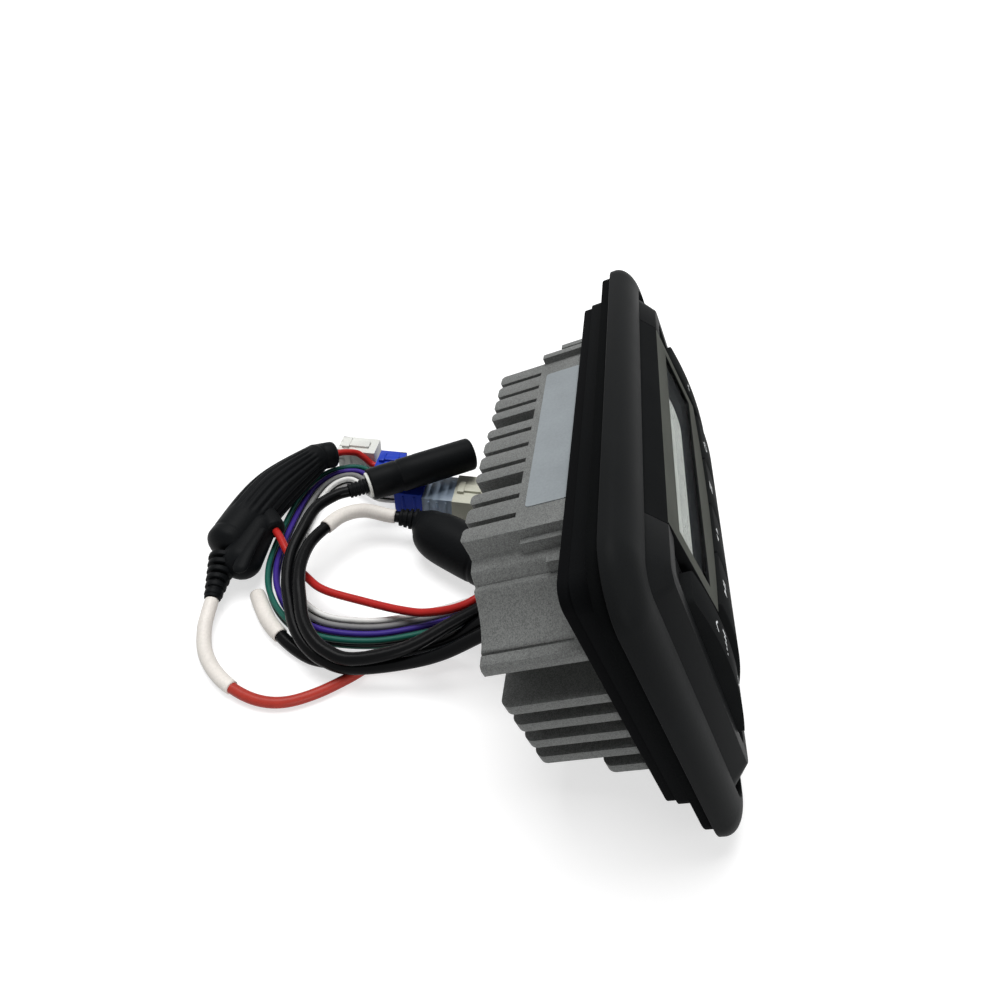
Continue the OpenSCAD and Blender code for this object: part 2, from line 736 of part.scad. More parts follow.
module chip_clamp() {
    clamp_w = chip_w + 2 * clamp_reach;
    color("#aab0b5") stand() translate([-clamp_w / 2, chip_y - clamp_h / 2, -cavity_rear + chip_t])
        cube([clamp_w, clamp_h, clamp_t]);
}

module filter_capacitors() {
    color("#2b3550") stand() for (x = capacitor_x) translate([x, capacitor_y, -cavity_rear + rear_clear])
        cylinder(d = capacitor_d, h = cavity_rear - board_rear - rear_clear);
}

module tuner_can() {
    color("#c3c7ca") stand() translate([tuner_x, tuner_y, -cavity_rear + rear_clear])
        cube([tuner_w, tuner_h, cavity_rear - board_rear - rear_clear]);
}

module loom_header() {
    color("#eceae2") stand() translate([grommet_x, grommet_y, -board_rear - header_t])
        translate([-header_w / 2, -header_h / 2, 0]) cube([header_w, header_h, header_t]);
}

module chassis_seal() {
    color("#0e0f10") stand() slab(-skirt_depth - seal_depth, -skirt_depth) difference() {
        outline(seal_inset);
        outline(seal_inset + seal_w);
    }
}

// Half of the chassis section: top, shoulder, cove, lip, side wall and foot
module chassis_half() {
    difference() {
        polygon([
            [0, chassis_top], [top_half, chassis_top], [top_half + 1, shoulder_y],
            [shoulder_x, shoulder_y - edge_cut], [shoulder_x + edge_cut, shoulder_y - 2 * edge_cut],
            [groove_x, groove_y], [ridge_x - edge_cut, ridge_y + edge_cut], [ridge_x, ridge_y],
            [cove_end_x, lip_y], [lip_x - edge_cut, lip_y - edge_cut / 2], [lip_x, lip_y - 2 * edge_cut],
            [lip_x, lip_y - lip_face + edge_cut], [lip_x - edge_cut, lip_y - lip_face],
            [side_half, lip_y - lip_root], [side_half, foot_y],
            [foot_x, -chassis_bottom], [0, -chassis_bottom]
        ]);
        translate(cove_c) circle(cove_r, $fn = 96);
    }
}

// Plan of one side fin, from its root to a rounded rear tip
module side_fin_plan(rear) {
    root = side_half - 1;
    translate([root, body_front - eps]) square([fin_tip - root, rear - fin_round - body_front]);
    translate([root, rear - fin_round - 1]) square([fin_tip - root - fin_round, fin_round + 1]);
    translate([fin_tip - fin_round, rear - fin_round]) circle(fin_round);
}

module side_fin(y, rear) {
    translate([0, y + fin_t / 2, 0]) rotate([90, 0, 0]) linear_extrude(fin_t)
        mirror([0, 1]) side_fin_plan(rear);
}

// Plan of the rear fins: each has rounded corners at its end
module rear_fin_plan() {
    edges = concat([-top_half], slot_x, [top_half]);
    for (i = [0 : slot_count]) {
        left_cut = i == 0 ? 0 : gap_w(i - 1) / 2;
        right_cut = i == slot_count ? 0 : gap_w(i) / 2;
        x0 = edges[i] + left_cut;
        x1 = edges[i + 1] - right_cut;
        translate([x0, fin_root - 1]) square([x1 - x0, rear_fin + 1 - fin_corner]);
        translate([x0 + fin_corner, fin_root - 1]) square([x1 - x0 - 2 * fin_corner, rear_fin + 1]);
        for (x = [x0 + fin_corner, x1 - fin_corner])
            translate([x, chassis_rear - fin_corner]) circle(fin_corner);
    }
}

function gap_w(k) = len(search(k, notches)) > 0 ? notch_w : slot_w;

module rear_fins() {
    translate([0, chassis_top, 0]) rotate([90, 0, 0]) linear_extrude(chassis_top + chassis_bottom)
        mirror([0, 1]) rear_fin_plan();
}

// Stepped ribs beside the flat top, near the seal, with the heights of their tops
module shoulder_ribs(tops) {
    medium_y = shoulder_y - 2;
    short_y = ridge_y - 2;
    translate([top_half - 0.5, medium_y, -rib_medium_rear])
        cube([rib_medium_w, tops[0] - medium_y, rib_medium_rear - body_front + eps]);
    translate([top_half + rib_short_step, short_y, -rib_short_rear])
        cube([rib_short_w, tops[1] - short_y, rib_short_rear - body_front + eps]);
}

module chassis() {
    color("#9a9d9e") stand() difference() {
        union() {
            slab(-body_front, -skirt_depth)
                rounded(trim_w - 2 * chassis_inset, trim_h - 2 * chassis_inset, 2);
            slab(-fin_root, -body_front + eps) both_sides() chassis_half();
            rear_fins();
            both_sides() {
                for (k = [0 : fin_count - 1]) side_fin(fin_first - k * fin_pitch, chassis_rear);
                side_fin(fin_first - fin_count * fin_pitch, short_fin_rear);
            }
            shoulder_ribs(right_rib_tops);
            mirror([1, 0, 0]) shoulder_ribs(left_rib_tops);
            both_sides() slab(-chassis_rear + 1, -fin_root + eps) difference() {
                chassis_half();
                translate([-top_half, -chassis_bottom - 1])
                    square([2 * top_half, chassis_top + chassis_bottom + 2]);
            }
            translate([grommet_x - pad_half, pad_y0, -pad_rear])
                cube([2 * pad_half, pad_y1 - pad_y0, rear_fin]);
        }
        slab(-cavity_rear, 0) cavity_plan(0);
        translate([grommet_x - pad_half, pad_y0, -chassis_rear - 1])
            cube([2 * pad_half, pad_y1 - pad_y0, chassis_rear + 1 - pad_rear]);
        slab(-chassis_rear - 1, -cavity_rear + eps) translate([grommet_x, grommet_y])
            square([duct_w, duct_h], center = true);
        at_corners(boss_x, boss_y) translate([0, 0, -body_front - 1])
            cylinder(r = chassis_screw_r + slide_gap, h = chassis_flange + 2);
    }
    color("#9a9d9e") stand() for (p = posts) translate([p[0], p[1], -cavity_rear - eps]) difference() {
        cylinder(r = post_r, h = cavity_rear - board_rear + eps);
        translate([0, 0, 2]) cylinder(r = post_hole_r, h = cavity_rear);
    }
}

module chassis_screws() {
    color("#b9bcc0") stand() at_corners(boss_x, boss_y) translate([0, 0, -body_front]) {
        translate([0, 0, -screw_head_h]) cylinder(r = screw_head_r, h = screw_head_h);
        translate([0, 0, -eps]) cylinder(r = chassis_screw_r - pin_gap, h = chassis_screw_l);
    }
}

module blank_label() {
    color("#d4dae0") stand() translate([-label_w / 2, chassis_top, -body_front - 0.6 - label_l])
        cube([label_w, 0.2, label_l]);
}

// Rubber grommet: a plug in the chassis duct and a flange over the pad
module loom_grommet() {
    color("#141516") stand() {
        slab(-exit_z, -pad_rear) translate([grommet_x, grommet_y]) rounded(grommet_w, grommet_h, 4);
        slab(-pad_rear - eps, -cavity_rear) translate([grommet_x, grommet_y])
            square([duct_w - 2 * seat_gap, duct_h - 2 * seat_gap], center = true);
    }
}

// Tube swept along a path, closed and squared to the given directions at both ends
module tube(path, d, ends) {
    n = len(path);
    rings = [for (i = [0 : n - 1])
        let (t = i == 0 ? ends[0] : i == n - 1 ? ends[1] : tangent(path, i),
             s = side_of(t), u = cross(s, t))
        for (k = [0 : cord_sides - 1])
            path[i] + d / 2 * (cos(360 * k / cord_sides) * s + sin(360 * k / cord_sides) * u)];
    walls = [for (i = [0 : n - 2], k = [0 : cord_sides - 1])
        let (a = i * cord_sides + k, b = i * cord_sides + (k + 1) % cord_sides)
        for (f = [[a, b, b + cord_sides], [a, b + cord_sides, a + cord_sides]]) f];
    first = [for (k = [cord_sides - 1 : -1 : 0]) k];
    last = [for (k = [0 : cord_sides - 1]) (n - 1) * cord_sides + k];
    polyhedron(rings, concat(walls, [first, last]));
}

// Puts a piece that stands on z = 0 at a point, with its z along a direction
module aim(at, dir) {
    translate(at) rotate([0, acos(dir[2]), atan2(dir[1], dir[0])]) children();
}

// Ribbed strain relief that tapers from r0 to r1
module relief(l, r0, r1, ribs) {
    step = l / ribs;
    for (i = [0 : ribs - 1]) {
        r = r0 + (r1 - r0) * i / (ribs - 1);
        translate([0, 0, i * step]) cylinder(r = r, h = step * 0.62);
        translate([0, 0, i * step]) cylinder(r = r1 - 0.5, h = step);
    }
}

module aerial_cable() { color("#141516") tube(aerial_path, cable_d, ends_of(aerial_route)); }
module remote_cable() { color("#141516") tube(remote_path, cable_d, ends_of(remote_route)); }
module aux_cable() { color("#141516") tube(aux_path, cable_d, ends_of(aux_route)); }
module supply_lead() { color("#c8321f") tube(supply_path, supply_d, ends_of(supply_route)); }
module red_wire(route) { color("#d3261f") tube(smooth(route, thin_steps), power_d, ends_of(route)); }
module power_wire() { red_wire(power_route); }
module fuse_tail() { red_wire(tail_route); }

module sleeve(path, d) { tube(path, d, ends_of(path)); }

module remote_sleeve() {
    n = len(remote_path);
    color("#ece9e2") sleeve(stretch(remote_path, n - 1 - remote_sleeve_points, n - 2), sleeve_d);
}

module aux_sleeve() {
    n = len(aux_path);
    color("#dfe5e4") sleeve(stretch(aux_path, n - 1 - aux_sleeve_points, n - 1), sleeve_d);
}

module supply_sleeve() {
    color("#ece5d8") sleeve(stretch(supply_path, 1, supply_sleeve_points), sleeve_d - sleeve_step);
}

module loom_wire(i) {
    tube(smooth(lane_route(loom_route, lanes[i]), thin_steps), wire_d, ends_of(loom_route));
}

module wire_white() { color("#e9e9e7") loom_wire(4); }
module wire_white_black() { color("#d8d8d6") loom_wire(0); }
module wire_grey() { color("#8b8b8a") loom_wire(5); }
module wire_grey_black() { color("#5d5d5e") loom_wire(1); }
module wire_purple() { color("#3a2aa8") loom_wire(6); }
module wire_purple_black() { color("#2a2080") loom_wire(2); }
module wire_green() { color("#1d6b5c") loom_wire(7); }
module wire_green_black() { color("#18433c") loom_wire(3); }

module aerial_socket() {
    color("#18191a") {
        aim(aerial_back, aerial_dir) difference() {
            union() {
                translate([0, 0, 1.5]) cylinder(d = aerial_d, h = aerial_l - 1.5);
                cylinder(d1 = aerial_d - 2, d2 = aerial_d, h = 1.5 + eps);
            }
            translate([0, 0, aerial_l - aerial_bore_l]) cylinder(d = aerial_bore_d, h = aerial_l);
        }
        aim(aerial_back - aerial_relief_l * aerial_dir, aerial_dir)
            relief(aerial_relief_l - aerial_ring_t, cable_d / 2 + 1, cable_d / 2 + 1.8, 5);
    }
}

module aerial_ring() {
    color("#e4e4e0") aim(aerial_back - aerial_ring_t * aerial_dir, aerial_dir)
        cylinder(r = aerial_d / 2 - 2, h = aerial_ring_t);
}

module remote_plug() {
    color("#161718") {
        aim(plug_back - plug_relief_l * plug_dir, plug_dir)
            relief(plug_relief_l + eps, cable_d / 2 + 1, cable_d / 2 + 1.9, 5);
        hull() {
            aim(plug_back, plug_dir) cylinder(r = cable_d / 2 + 1.9, h = 1);
            for (b = plug_body) translate(b[0]) sphere(b[1], $fn = 28);
        }
    }
}

module fuse_holder() {
    color("#17181a") {
        hull() for (b = fuse_body) translate(b[0]) sphere(b[1], $fn = 24);
        hull() for (b = fuse_shell) translate(b[0]) sphere(b[1], $fn = 24);
        aim(fuse_top, boot_dir) cylinder(r = boot_r, h = boot_l);
        aim(lobe_end - lobe_l * lobe_dir, lobe_dir) cylinder(r = lobe_r, h = lobe_l);
        aim(fuse_relief_end - fuse_relief_l * fuse_relief_dir, fuse_relief_dir)
            relief(fuse_relief_l, lobe_r + 1.4, supply_d / 2 + 1.4, 6);
    }
}

module housing_block(box) {
    translate(box[0]) cube(box[1]);
}

module blue_connector() { color("#1b3fc4") housing_block(blue_box); }
module clear_connector() { color("#9fb6cf") housing_block(clear_box); }
module cream_connector() { color("#dedccf") housing_block(cream_box); }
module white_connector() { color("#e9e9e4") housing_block(white_box); }
module blue_adapter() { color("#1b3fc4") housing_block(adapter_box); }

trim_ring();
wall_gasket();
front_housing();
face_panel();
display_pod();
display_lens();
lcd_glass();
lcd_backlight();
volume_rocker();
track_rocker();
source_button();
band_button();
menu_button();
power_button();
front_board();
tact_switches();
front_socket();
ribbon_cable();
main_socket();
main_board();
board_screws();
amplifier_chip();
chip_clamp();
filter_capacitors();
tuner_can();
loom_header();
chassis_seal();
chassis();
chassis_screws();
blank_label();
loom_grommet();
aerial_cable();
aerial_socket();
aerial_ring();
remote_cable();
remote_sleeve();
remote_plug();
aux_cable();
aux_sleeve();
power_wire();
supply_lead();
supply_sleeve();
fuse_tail();
fuse_holder();
wire_white();
wire_white_black();
wire_grey();
wire_grey_black();
wire_purple();
wire_purple_black();
wire_green();
wire_green_black();
blue_connector();
clear_connector();
cream_connector();
white_connector();
blue_adapter();
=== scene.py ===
# %% [markdown]
# # A panel stereo that leans on a table, with its loom behind it
# The solids of the stereo come from its construction drawing, in metres. This lesson dresses them: it
# rounds their edges, gives each its real finish, and lays the cables of the loom in their places.

# %% Load the frame
import math

import bmesh
import bpy
from mathutils import Matrix, Vector


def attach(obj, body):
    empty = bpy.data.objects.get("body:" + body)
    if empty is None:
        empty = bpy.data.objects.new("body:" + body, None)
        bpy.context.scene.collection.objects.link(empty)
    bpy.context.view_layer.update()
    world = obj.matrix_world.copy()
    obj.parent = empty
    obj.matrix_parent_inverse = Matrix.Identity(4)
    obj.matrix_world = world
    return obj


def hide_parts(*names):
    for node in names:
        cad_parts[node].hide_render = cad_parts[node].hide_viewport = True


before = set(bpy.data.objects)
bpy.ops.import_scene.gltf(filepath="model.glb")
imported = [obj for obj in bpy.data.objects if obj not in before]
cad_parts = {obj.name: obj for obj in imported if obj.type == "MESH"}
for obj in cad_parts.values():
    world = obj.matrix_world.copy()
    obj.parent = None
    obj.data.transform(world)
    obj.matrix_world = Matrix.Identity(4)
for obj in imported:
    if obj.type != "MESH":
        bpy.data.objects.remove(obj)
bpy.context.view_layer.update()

# %% [markdown]
# ## Two frames
# The stereo was drawn flat, with x to the right, y up its face and z out of it, in millimetres. It then
# leans back until the bottom edge of its trim and the tips of its rear fins touch the table. Every piece
# below is drawn in that panel frame and put in its place by one function, so nothing is fitted by eye.
# From front to rear, the middle of the leaning stereo is over the origin. Its front is the fullest part of
# the quarter-round trim, which the drawing takes at every 15 degrees.

# %% From the panel to the table
MM = 0.001
TRIM_W, TRIM_H, TRIM_R = 165, 112, 15.5
TRIM_BAND, TRIM_RIM, TRIM_FRONT = 9.7, 1.5, 7.6
CHASSIS_REAR, CHASSIS_BOTTOM, CHASSIS_TOP = 43.5, 36, 43
LEAN = math.atan2(TRIM_H / 2 - CHASSIS_BOTTOM, CHASSIS_REAR)
DRAWN_STEP = 15


def set_back(up, out):
    """How far behind the bottom edge of the trim a point of the leaning stereo lies."""
    return up * math.sin(LEAN) - out * math.cos(LEAN)


def on_band(angle):
    """A point of the quarter-round trim, as its step in from the edge and its height."""
    return TRIM_BAND * (1 - math.cos(angle)), TRIM_RIM + (TRIM_FRONT - TRIM_RIM) * math.sin(angle)


front_reach = min(set_back(*on_band(math.radians(a))) for a in range(0, 91, DRAWN_STEP))
rear_reach = set_back(TRIM_H / 2 + CHASSIS_TOP, -CHASSIS_REAR)
STAND_MID = round((front_reach + rear_reach) / 2, 6)


def on_panel(x, y, z):
    """A point of the panel frame, in millimetres, as a point on the table in metres."""
    up = y + TRIM_H / 2
    return Vector((x, set_back(up, z) - STAND_MID, up * math.cos(LEAN) + z * math.sin(LEAN))) * MM


print("lean:", round(math.degrees(LEAN), 2), "degrees, middle:", STAND_MID, "mm behind the bottom edge")

# %% [markdown]
# ## The camera
# The photograph was taken from close by, from the left and above, with a wide lens. The camera's place and
# its three axes are set directly, because a camera that only looks at a point would lose the small roll of
# the real one.

# %% Camera
CAMERA_PLACE = (-177.9, 14.9, 204.4)
CAMERA_UP = (0.642, 0.097, 0.761)
CAMERA_BACK = (-0.755, -0.095, 0.649)
CAMERA_LENS, SENSOR_W, NEAREST = 25.83, 36, 0.01

camera = bpy.data.objects.new("camera", bpy.data.cameras.new("camera"))
bpy.context.scene.collection.objects.link(camera)
back = Vector(CAMERA_BACK).normalized()
right = Vector(CAMERA_UP).cross(back).normalized()
up = back.cross(right)
axes = Matrix((right, up, back)).transposed().to_4x4()
camera.matrix_world = Matrix.Translation(Vector(CAMERA_PLACE) * MM) @ axes
camera.data.lens = CAMERA_LENS
camera.data.sensor_width = SENSOR_W
camera.data.clip_start = NEAREST
bpy.context.scene.camera = camera
bpy.context.scene.view_settings.view_transform = "Standard"
print("camera:", CAMERA_LENS, "mm lens,", round(Vector(CAMERA_PLACE).length), "mm from the origin")

# %% [markdown]
# ## Finishes
# Three effects return in many finishes, so each is a node group with its own inputs. Moulded plastic and
# rubber have a fine spark-eroded grain. A die casting that was blasted with beads has a bright speckle.
# Insulation on a wire is smooth, with faint waves from the extruder. The groups give colours, roughness
# and normals; the shader itself stays in each material.

# %% Node helpers
def feed(tree, sockets, feeds):
    """Feeds inputs, each from another socket or with a plain value."""
    for label, value in feeds.items():
        if hasattr(value, "is_linked"):
            tree.links.new(value, sockets[label])
        else:
            sockets[label].default_value = value


def add_node(tree, kind, feeds=None, **values):
    """A new node with its settings and what feeds its inputs."""
    node = tree.nodes.new(kind)
    for name, value in values.items():
        setattr(node, name, value)
    feed(tree, node.inputs, feeds or {})
    return node


def result(tree, kind, feeds, **values):
    """The first output of a new node."""
    return add_node(tree, kind, feeds, **values).outputs[0]


def maths(tree, operation, a, b=0.0):
    return result(tree, "ShaderNodeMath", {0: a, 1: b}, operation=operation)


def spread_value(tree, fac, low, high):
    """Maps 0..1 to low..high."""
    return result(tree, "ShaderNodeMapRange", {"Value": fac, "To Min": low, "To Max": high})


def mix_colour(tree, fac, a, b):
    return add_node(tree, "ShaderNodeMix", {0: fac, 6: a, 7: b}, data_type="RGBA").outputs[2]


def scaled(tree, colour, factor):
    return result(tree, "ShaderNodeVectorMath", {0: colour, "Scale": factor}, operation="SCALE")


def object_place(tree):
    return add_node(tree, "ShaderNodeTexCoord").outputs["Object"]


def noise(tree, scale, detail=2.0):
    feeds = {"Vector": object_place(tree), "Scale": scale, "Detail": detail}
    return add_node(tree, "ShaderNodeTexNoise", feeds).outputs["Fac"]


def bump(tree, height, distance):
    return result(tree, "ShaderNodeBump", {"Strength": 1.0, "Height": height, "Distance": distance})


# %% The three shared effects
GREY = (0.5, 0.5, 0.5, 1)


def new_group(name, inputs):
    """A shader group with a Base colour, a Rough value and inputs of its own, and with three outputs."""
    tree = bpy.data.node_groups.new(name, "ShaderNodeTree")
    for label, value in {"Base": GREY, "Rough": 0.45, **inputs}.items():
        kind = "NodeSocketColor" if isinstance(value, tuple) else "NodeSocketFloat"
        tree.interface.new_socket(label, in_out="INPUT", socket_type=kind).default_value = value
    for label, kind in (("Color", "Color"), ("Roughness", "Float"), ("Normal", "Vector")):
        tree.interface.new_socket(label, in_out="OUTPUT", socket_type="NodeSocket" + kind)
    return tree, add_node(tree, "NodeGroupInput").outputs, add_node(tree, "NodeGroupOutput").inputs


def end_group(tree, ins, outs, colour, level, swing, normal):
    """Ends a group: a colour at a level, the roughness with its swing, and the normal."""
    feed(tree, outs, {"Color": scaled(tree, colour, level), "Normal": normal,
                      "Roughness": maths(tree, "ADD", ins["Rough"], swing)})
    return tree


def moulded_group():
    tree, ins, outs = new_group("moulded_grain", {"Grain": 2600, "Depth": 0.00003})
    fine, broad = noise(tree, ins["Grain"], 1.5), noise(tree, 60, 3)
    level = maths(tree, "MULTIPLY", spread_value(tree, broad, 0.82, 1.18), spread_value(tree, fine, 0.9, 1.1))
    return end_group(tree, ins, outs, ins["Base"], level, spread_value(tree, broad, -0.07, 0.07),
                     bump(tree, fine, ins["Depth"]))


def blasted_group():
    tree, ins, outs = new_group("blasted_casting", {"Speckle": 1500, "Depth": 0.00006})
    flake = add_node(tree, "ShaderNodeTexVoronoi", {"Vector": object_place(tree), "Scale": ins["Speckle"]})
    sparkle = add_node(tree, "ShaderNodeSeparateColor", {0: flake.outputs["Color"]}).outputs
    cloud = spread_value(tree, noise(tree, 45, 4), 0.85, 1.15)
    level = maths(tree, "MULTIPLY", spread_value(tree, sparkle[0], 0.72, 1.3), cloud)
    return end_group(tree, ins, outs, ins["Base"], level, spread_value(tree, sparkle[1], -0.14, 0.14),
                     bump(tree, noise(tree, ins["Speckle"], 3), ins["Depth"]))


def drawn_group():
    """Insulation with a tracer stripe, which the UV map leads along the wire at a quarter of a turn."""
    tree, ins, outs = new_group("drawn_insulation", {"Tracer": GREY, "Width": 0.0})
    across = result(tree, "ShaderNodeSeparateXYZ", {0: add_node(tree, "ShaderNodeTexCoord").outputs["UV"]})
    off = maths(tree, "ABSOLUTE", maths(tree, "SUBTRACT", across, 0.25))
    colour = mix_colour(tree, maths(tree, "LESS_THAN", off, ins["Width"]), ins["Base"], ins["Tracer"])
    wave = noise(tree, 400)
    return end_group(tree, ins, outs, colour, spread_value(tree, wave, 0.88, 1.1),
                     spread_value(tree, wave, -0.06, 0.06), bump(tree, wave, 0.00004))


MOULDED, BLASTED, DRAWN = moulded_group(), blasted_group(), drawn_group()
print("effects:", [group.name for group in (MOULDED, BLASTED, DRAWN)])


# %% Materials from the effects
def new_material(name):
    """A material with one shader, and the shader's inputs."""
    material = bpy.data.materials.new(name)
    material.use_nodes = True
    tree = material.node_tree
    tree.nodes.clear()
    shader = add_node(tree, "ShaderNodeBsdfPrincipled")
    add_node(tree, "ShaderNodeOutputMaterial", {0: shader.outputs[0]})
    return material, tree, shader.inputs


def finish(name, group, colour, rough, ior, metal=0.0, **values):
    """A material that takes its colour, roughness and normal from one of the effects."""
    material, tree, shader = new_material(name)
    feeds = {"Base": colour, "Rough": rough, **values}
    feeds = {label: (*value, 1) if isinstance(value, tuple) else value for label, value in feeds.items()}
    effect = add_node(tree, "ShaderNodeGroup", node_tree=group)
    feed(tree, effect.inputs, feeds)
    feed(tree, shader, {"Base Color": effect.outputs["Color"], "Roughness": effect.outputs["Roughness"],
                        "Normal": effect.outputs["Normal"], "Metallic": metal, "IOR": ior})
    return material


# %% Finishes of the pieces, by the name of their slot
DULL, DEAD, PLASTIC = 1.07, 1.01, 1.46
DARK = (0.012, 0.012, 0.013)
GRAINED = {  # colour, roughness, index of refraction, grains per metre, depth of the grain
    "trim_plastic": ((0.0105, 0.0112, 0.0116), 0.44, DULL, 2400, 2e-5),
    "face_plastic": ((0.0100, 0.0106, 0.0110), 0.44, DULL, 2600, 2e-5),
    "key_plastic": ((0.012, 0.0128, 0.0132), 0.38, DEAD, 2800, 1.5e-5),
    "pod_plastic": ((0.01, 0.01, 0.01), 0.42, DEAD, 2600, 1.5e-5),
    "housing_plastic": ((0.0052, 0.0056, 0.006), 0.5, 1.05, 2200, 3e-5),
    "gasket_foam": ((0.0046, 0.005, 0.0052), 0.8, 1.05, 1300, 1.2e-4),
    "seal_rubber": ((0.0046, 0.0048, 0.0052), 0.6, 1.05, 1500, 4e-5),
    "moulded_black": ((0.0050, 0.0056, 0.0062), 0.46, 1.12, 1900, 4e-5),
    "white_sleeve": ((0.78, 0.74, 0.69), 0.4, 1.3, 1200, 2e-5),
    "white_plastic": ((0.76, 0.77, 0.73), 0.42, 1.3, 1700, 2e-5),
    "cream_plastic": ((0.52, 0.52, 0.43), 0.45, 1.3, 1700, 2e-5),
    "blue_plastic": ((0.010, 0.042, 0.42), 0.36, 1.25, 1700, 2e-5),
    "black_plastic": ((0.018, 0.018, 0.020), 0.45, PLASTIC, 1900, 3e-5),
    "circuit_board": ((0.02, 0.16, 0.06), 0.4, PLASTIC, 900, 2e-5),
    "label_film": ((0.25, 0.275, 0.29), 0.40, 1.2, 1400, 1e-5),
    "light_guide": ((0.80, 0.82, 0.80), 0.3, PLASTIC, 1000, 1e-5),
    "capacitor_sleeve": ((0.03, 0.05, 0.14), 0.3, PLASTIC, 900, 1e-5),
    "print": ((0.62, 0.64, 0.65), 0.5, PLASTIC, 2400, 5e-6),
}
INSULATED = {  # colour, roughness, index of refraction, half the width of a dark tracer in turns
    "black_sheath": ((0.0030, 0.0032, 0.0036), 0.26, 1.15, 0),
    "red_wire": ((0.44, 0.018, 0.015), 0.34, 1.25, 0),
    "orange_wire": ((0.40, 0.040, 0.028), 0.36, 1.25, 0),
    "ribbon": ((0.55, 0.56, 0.54), 0.45, PLASTIC, 0),
    "white_wire": ((0.78, 0.78, 0.76), 0.36, PLASTIC, 0),
    "white_black_wire": ((0.74, 0.74, 0.73), 0.36, PLASTIC, 0.11),
    "grey_wire": ((0.22, 0.22, 0.22), 0.36, 1.25, 0),
    "grey_black_wire": ((0.21, 0.21, 0.215), 0.36, PLASTIC, 0.14),
    "purple_wire": ((0.042, 0.02, 0.22), 0.34, 1.25, 0),
    "purple_black_wire": ((0.05, 0.026, 0.3), 0.34, PLASTIC, 0.1),
    "green_wire": ((0.010, 0.10, 0.075), 0.34, 1.25, 0),
    "green_black_wire": ((0.012, 0.12, 0.09), 0.34, PLASTIC, 0.16),
}
FINISH = {
    "die_cast": finish("die_cast", BLASTED, (0.152, 0.157, 0.153), 0.5, 1.2, 0.1, Speckle=3800, Depth=5e-5),
    "steel": finish("steel", BLASTED, (0.46, 0.47, 0.48), 0.34, PLASTIC, 0.9, Speckle=9000, Depth=5e-6),
}
for slot, (*basics, grain, depth) in GRAINED.items():
    FINISH[slot] = finish(slot, MOULDED, *basics, Grain=grain, Depth=depth)
for slot, (*basics, width) in INSULATED.items():
    FINISH[slot] = finish(slot, DRAWN, *basics, Tracer=DARK, Width=width)
print("finishes:", len(FINISH))

# %% [markdown]
# ### See-through and picture finishes
# The window over the display is clear, and one connector shell is milky blue. Both let light through, so
# they use transmission with a plain roughness of their own. The pod round the window is black, and the grey
# on its front faces, which its mesh will mark in an attribute named front, is painted reflection. The display
# is passive, with its segments off: a pale grey field with a round end on a dark panel, whose strip next to
# the hood is painted shade.

# %% Clear finishes
def clear_finish(name, colour, rough, weight, grain, ior):
    material, tree, shader = new_material(name)
    faint = (*(0.94 * c for c in colour), 1)
    feed(tree, shader, {
        "Transmission Weight": weight, "IOR": ior,
        "Roughness": spread_value(tree, noise(tree, grain), rough - 0.04, rough + 0.04),
        "Base Color": mix_colour(tree, noise(tree, grain / 8), faint, (*colour, 1))})
    return material


FINISH["lens_clear"] = clear_finish("lens_clear", (0.95, 0.97, 0.97), 0.06, 1.0, 300, 1.005)
FINISH["clear_plastic"] = clear_finish("clear_plastic", (0.40, 0.49, 0.60), 0.3, 0.5, 500, 1.3)
print("clear finishes:", [FINISH[slot].name for slot in ("lens_clear", "clear_plastic")])

# %% The pod and its grey front
# The grey on the pod's front faces is painted reflection, in place of what those faces reflect.
POD_BLACK, POD_REFLECTION_GREY = (0.0100, 0.0106, 0.0110, 1), (0.092, 0.096, 0.086, 1)
tree = FINISH["pod_plastic"].node_tree
effect = next(node for node in tree.nodes if node.type == "GROUP")
front = add_node(tree, "ShaderNodeAttribute", attribute_name="front").outputs["Fac"]
feed(tree, effect.inputs, {"Base": mix_colour(tree, front, POD_BLACK, POD_REFLECTION_GREY)})
print("pod:", len(tree.nodes), "nodes")

# %% The display
WINDOW_DROP = 8
POD_TOP, POD_FRONT, POD_H, POD_RISE = 39.8, 11.4, 34, 3.8
POD_TILT = math.atan(POD_RISE / POD_H)
FIELD_H, FIELD_END = 14.5, 24


def on_pod(x, y, z):
    """A point of the tilted display pod, from the middle of its top edge, on the table in metres."""
    return on_panel(x, POD_TOP + y * math.cos(POD_TILT) + z * math.sin(POD_TILT),
                    POD_FRONT - y * math.sin(POD_TILT) + z * math.cos(POD_TILT))


def display_finish():
    """A pale field with a round end at the top of a dark panel, measured along the panel in millimetres. The
    panel's strip next to the hood is painted shade.
    """
    material, tree, shader = new_material("lcd")
    place = add_node(tree, "ShaderNodeSeparateXYZ", {0: object_place(tree)}).outputs
    middle = on_pod(0, -WINDOW_DROP - FIELD_H / 2, 0)
    rise = (on_pod(0, 0, 0).z - on_pod(0, -1, 0).z) / MM
    along = maths(tree, "MULTIPLY", place["X"], 1 / MM)
    over = maths(tree, "MULTIPLY", maths(tree, "SUBTRACT", place["Z"], middle.z), 1 / (MM * rise))
    past = maths(tree, "MAXIMUM", maths(tree, "SUBTRACT", along, FIELD_END - FIELD_H / 2), 0.0)
    reach = maths(tree, "SQRT", maths(tree, "ADD", maths(tree, "POWER", past, 2.0),
                                      maths(tree, "MULTIPLY", over, over)))
    field = maths(tree, "LESS_THAN", reach, FIELD_H / 2)
    haze = noise(tree, 120, 3)
    pale = mix_colour(tree, haze, (0.50, 0.51, 0.48, 1), (0.58, 0.59, 0.56, 1))
    # Dark panel round the field; its strip next to the hood is painted shade.
    dark = mix_colour(tree, haze, (0.018, 0.020, 0.021, 1), (0.026, 0.028, 0.030, 1))
    feed(tree, shader, {"Base Color": mix_colour(tree, field, dark, pale), "IOR": DEAD,
                        "Roughness": spread_value(tree, haze, 0.28, 0.4)})
    return material


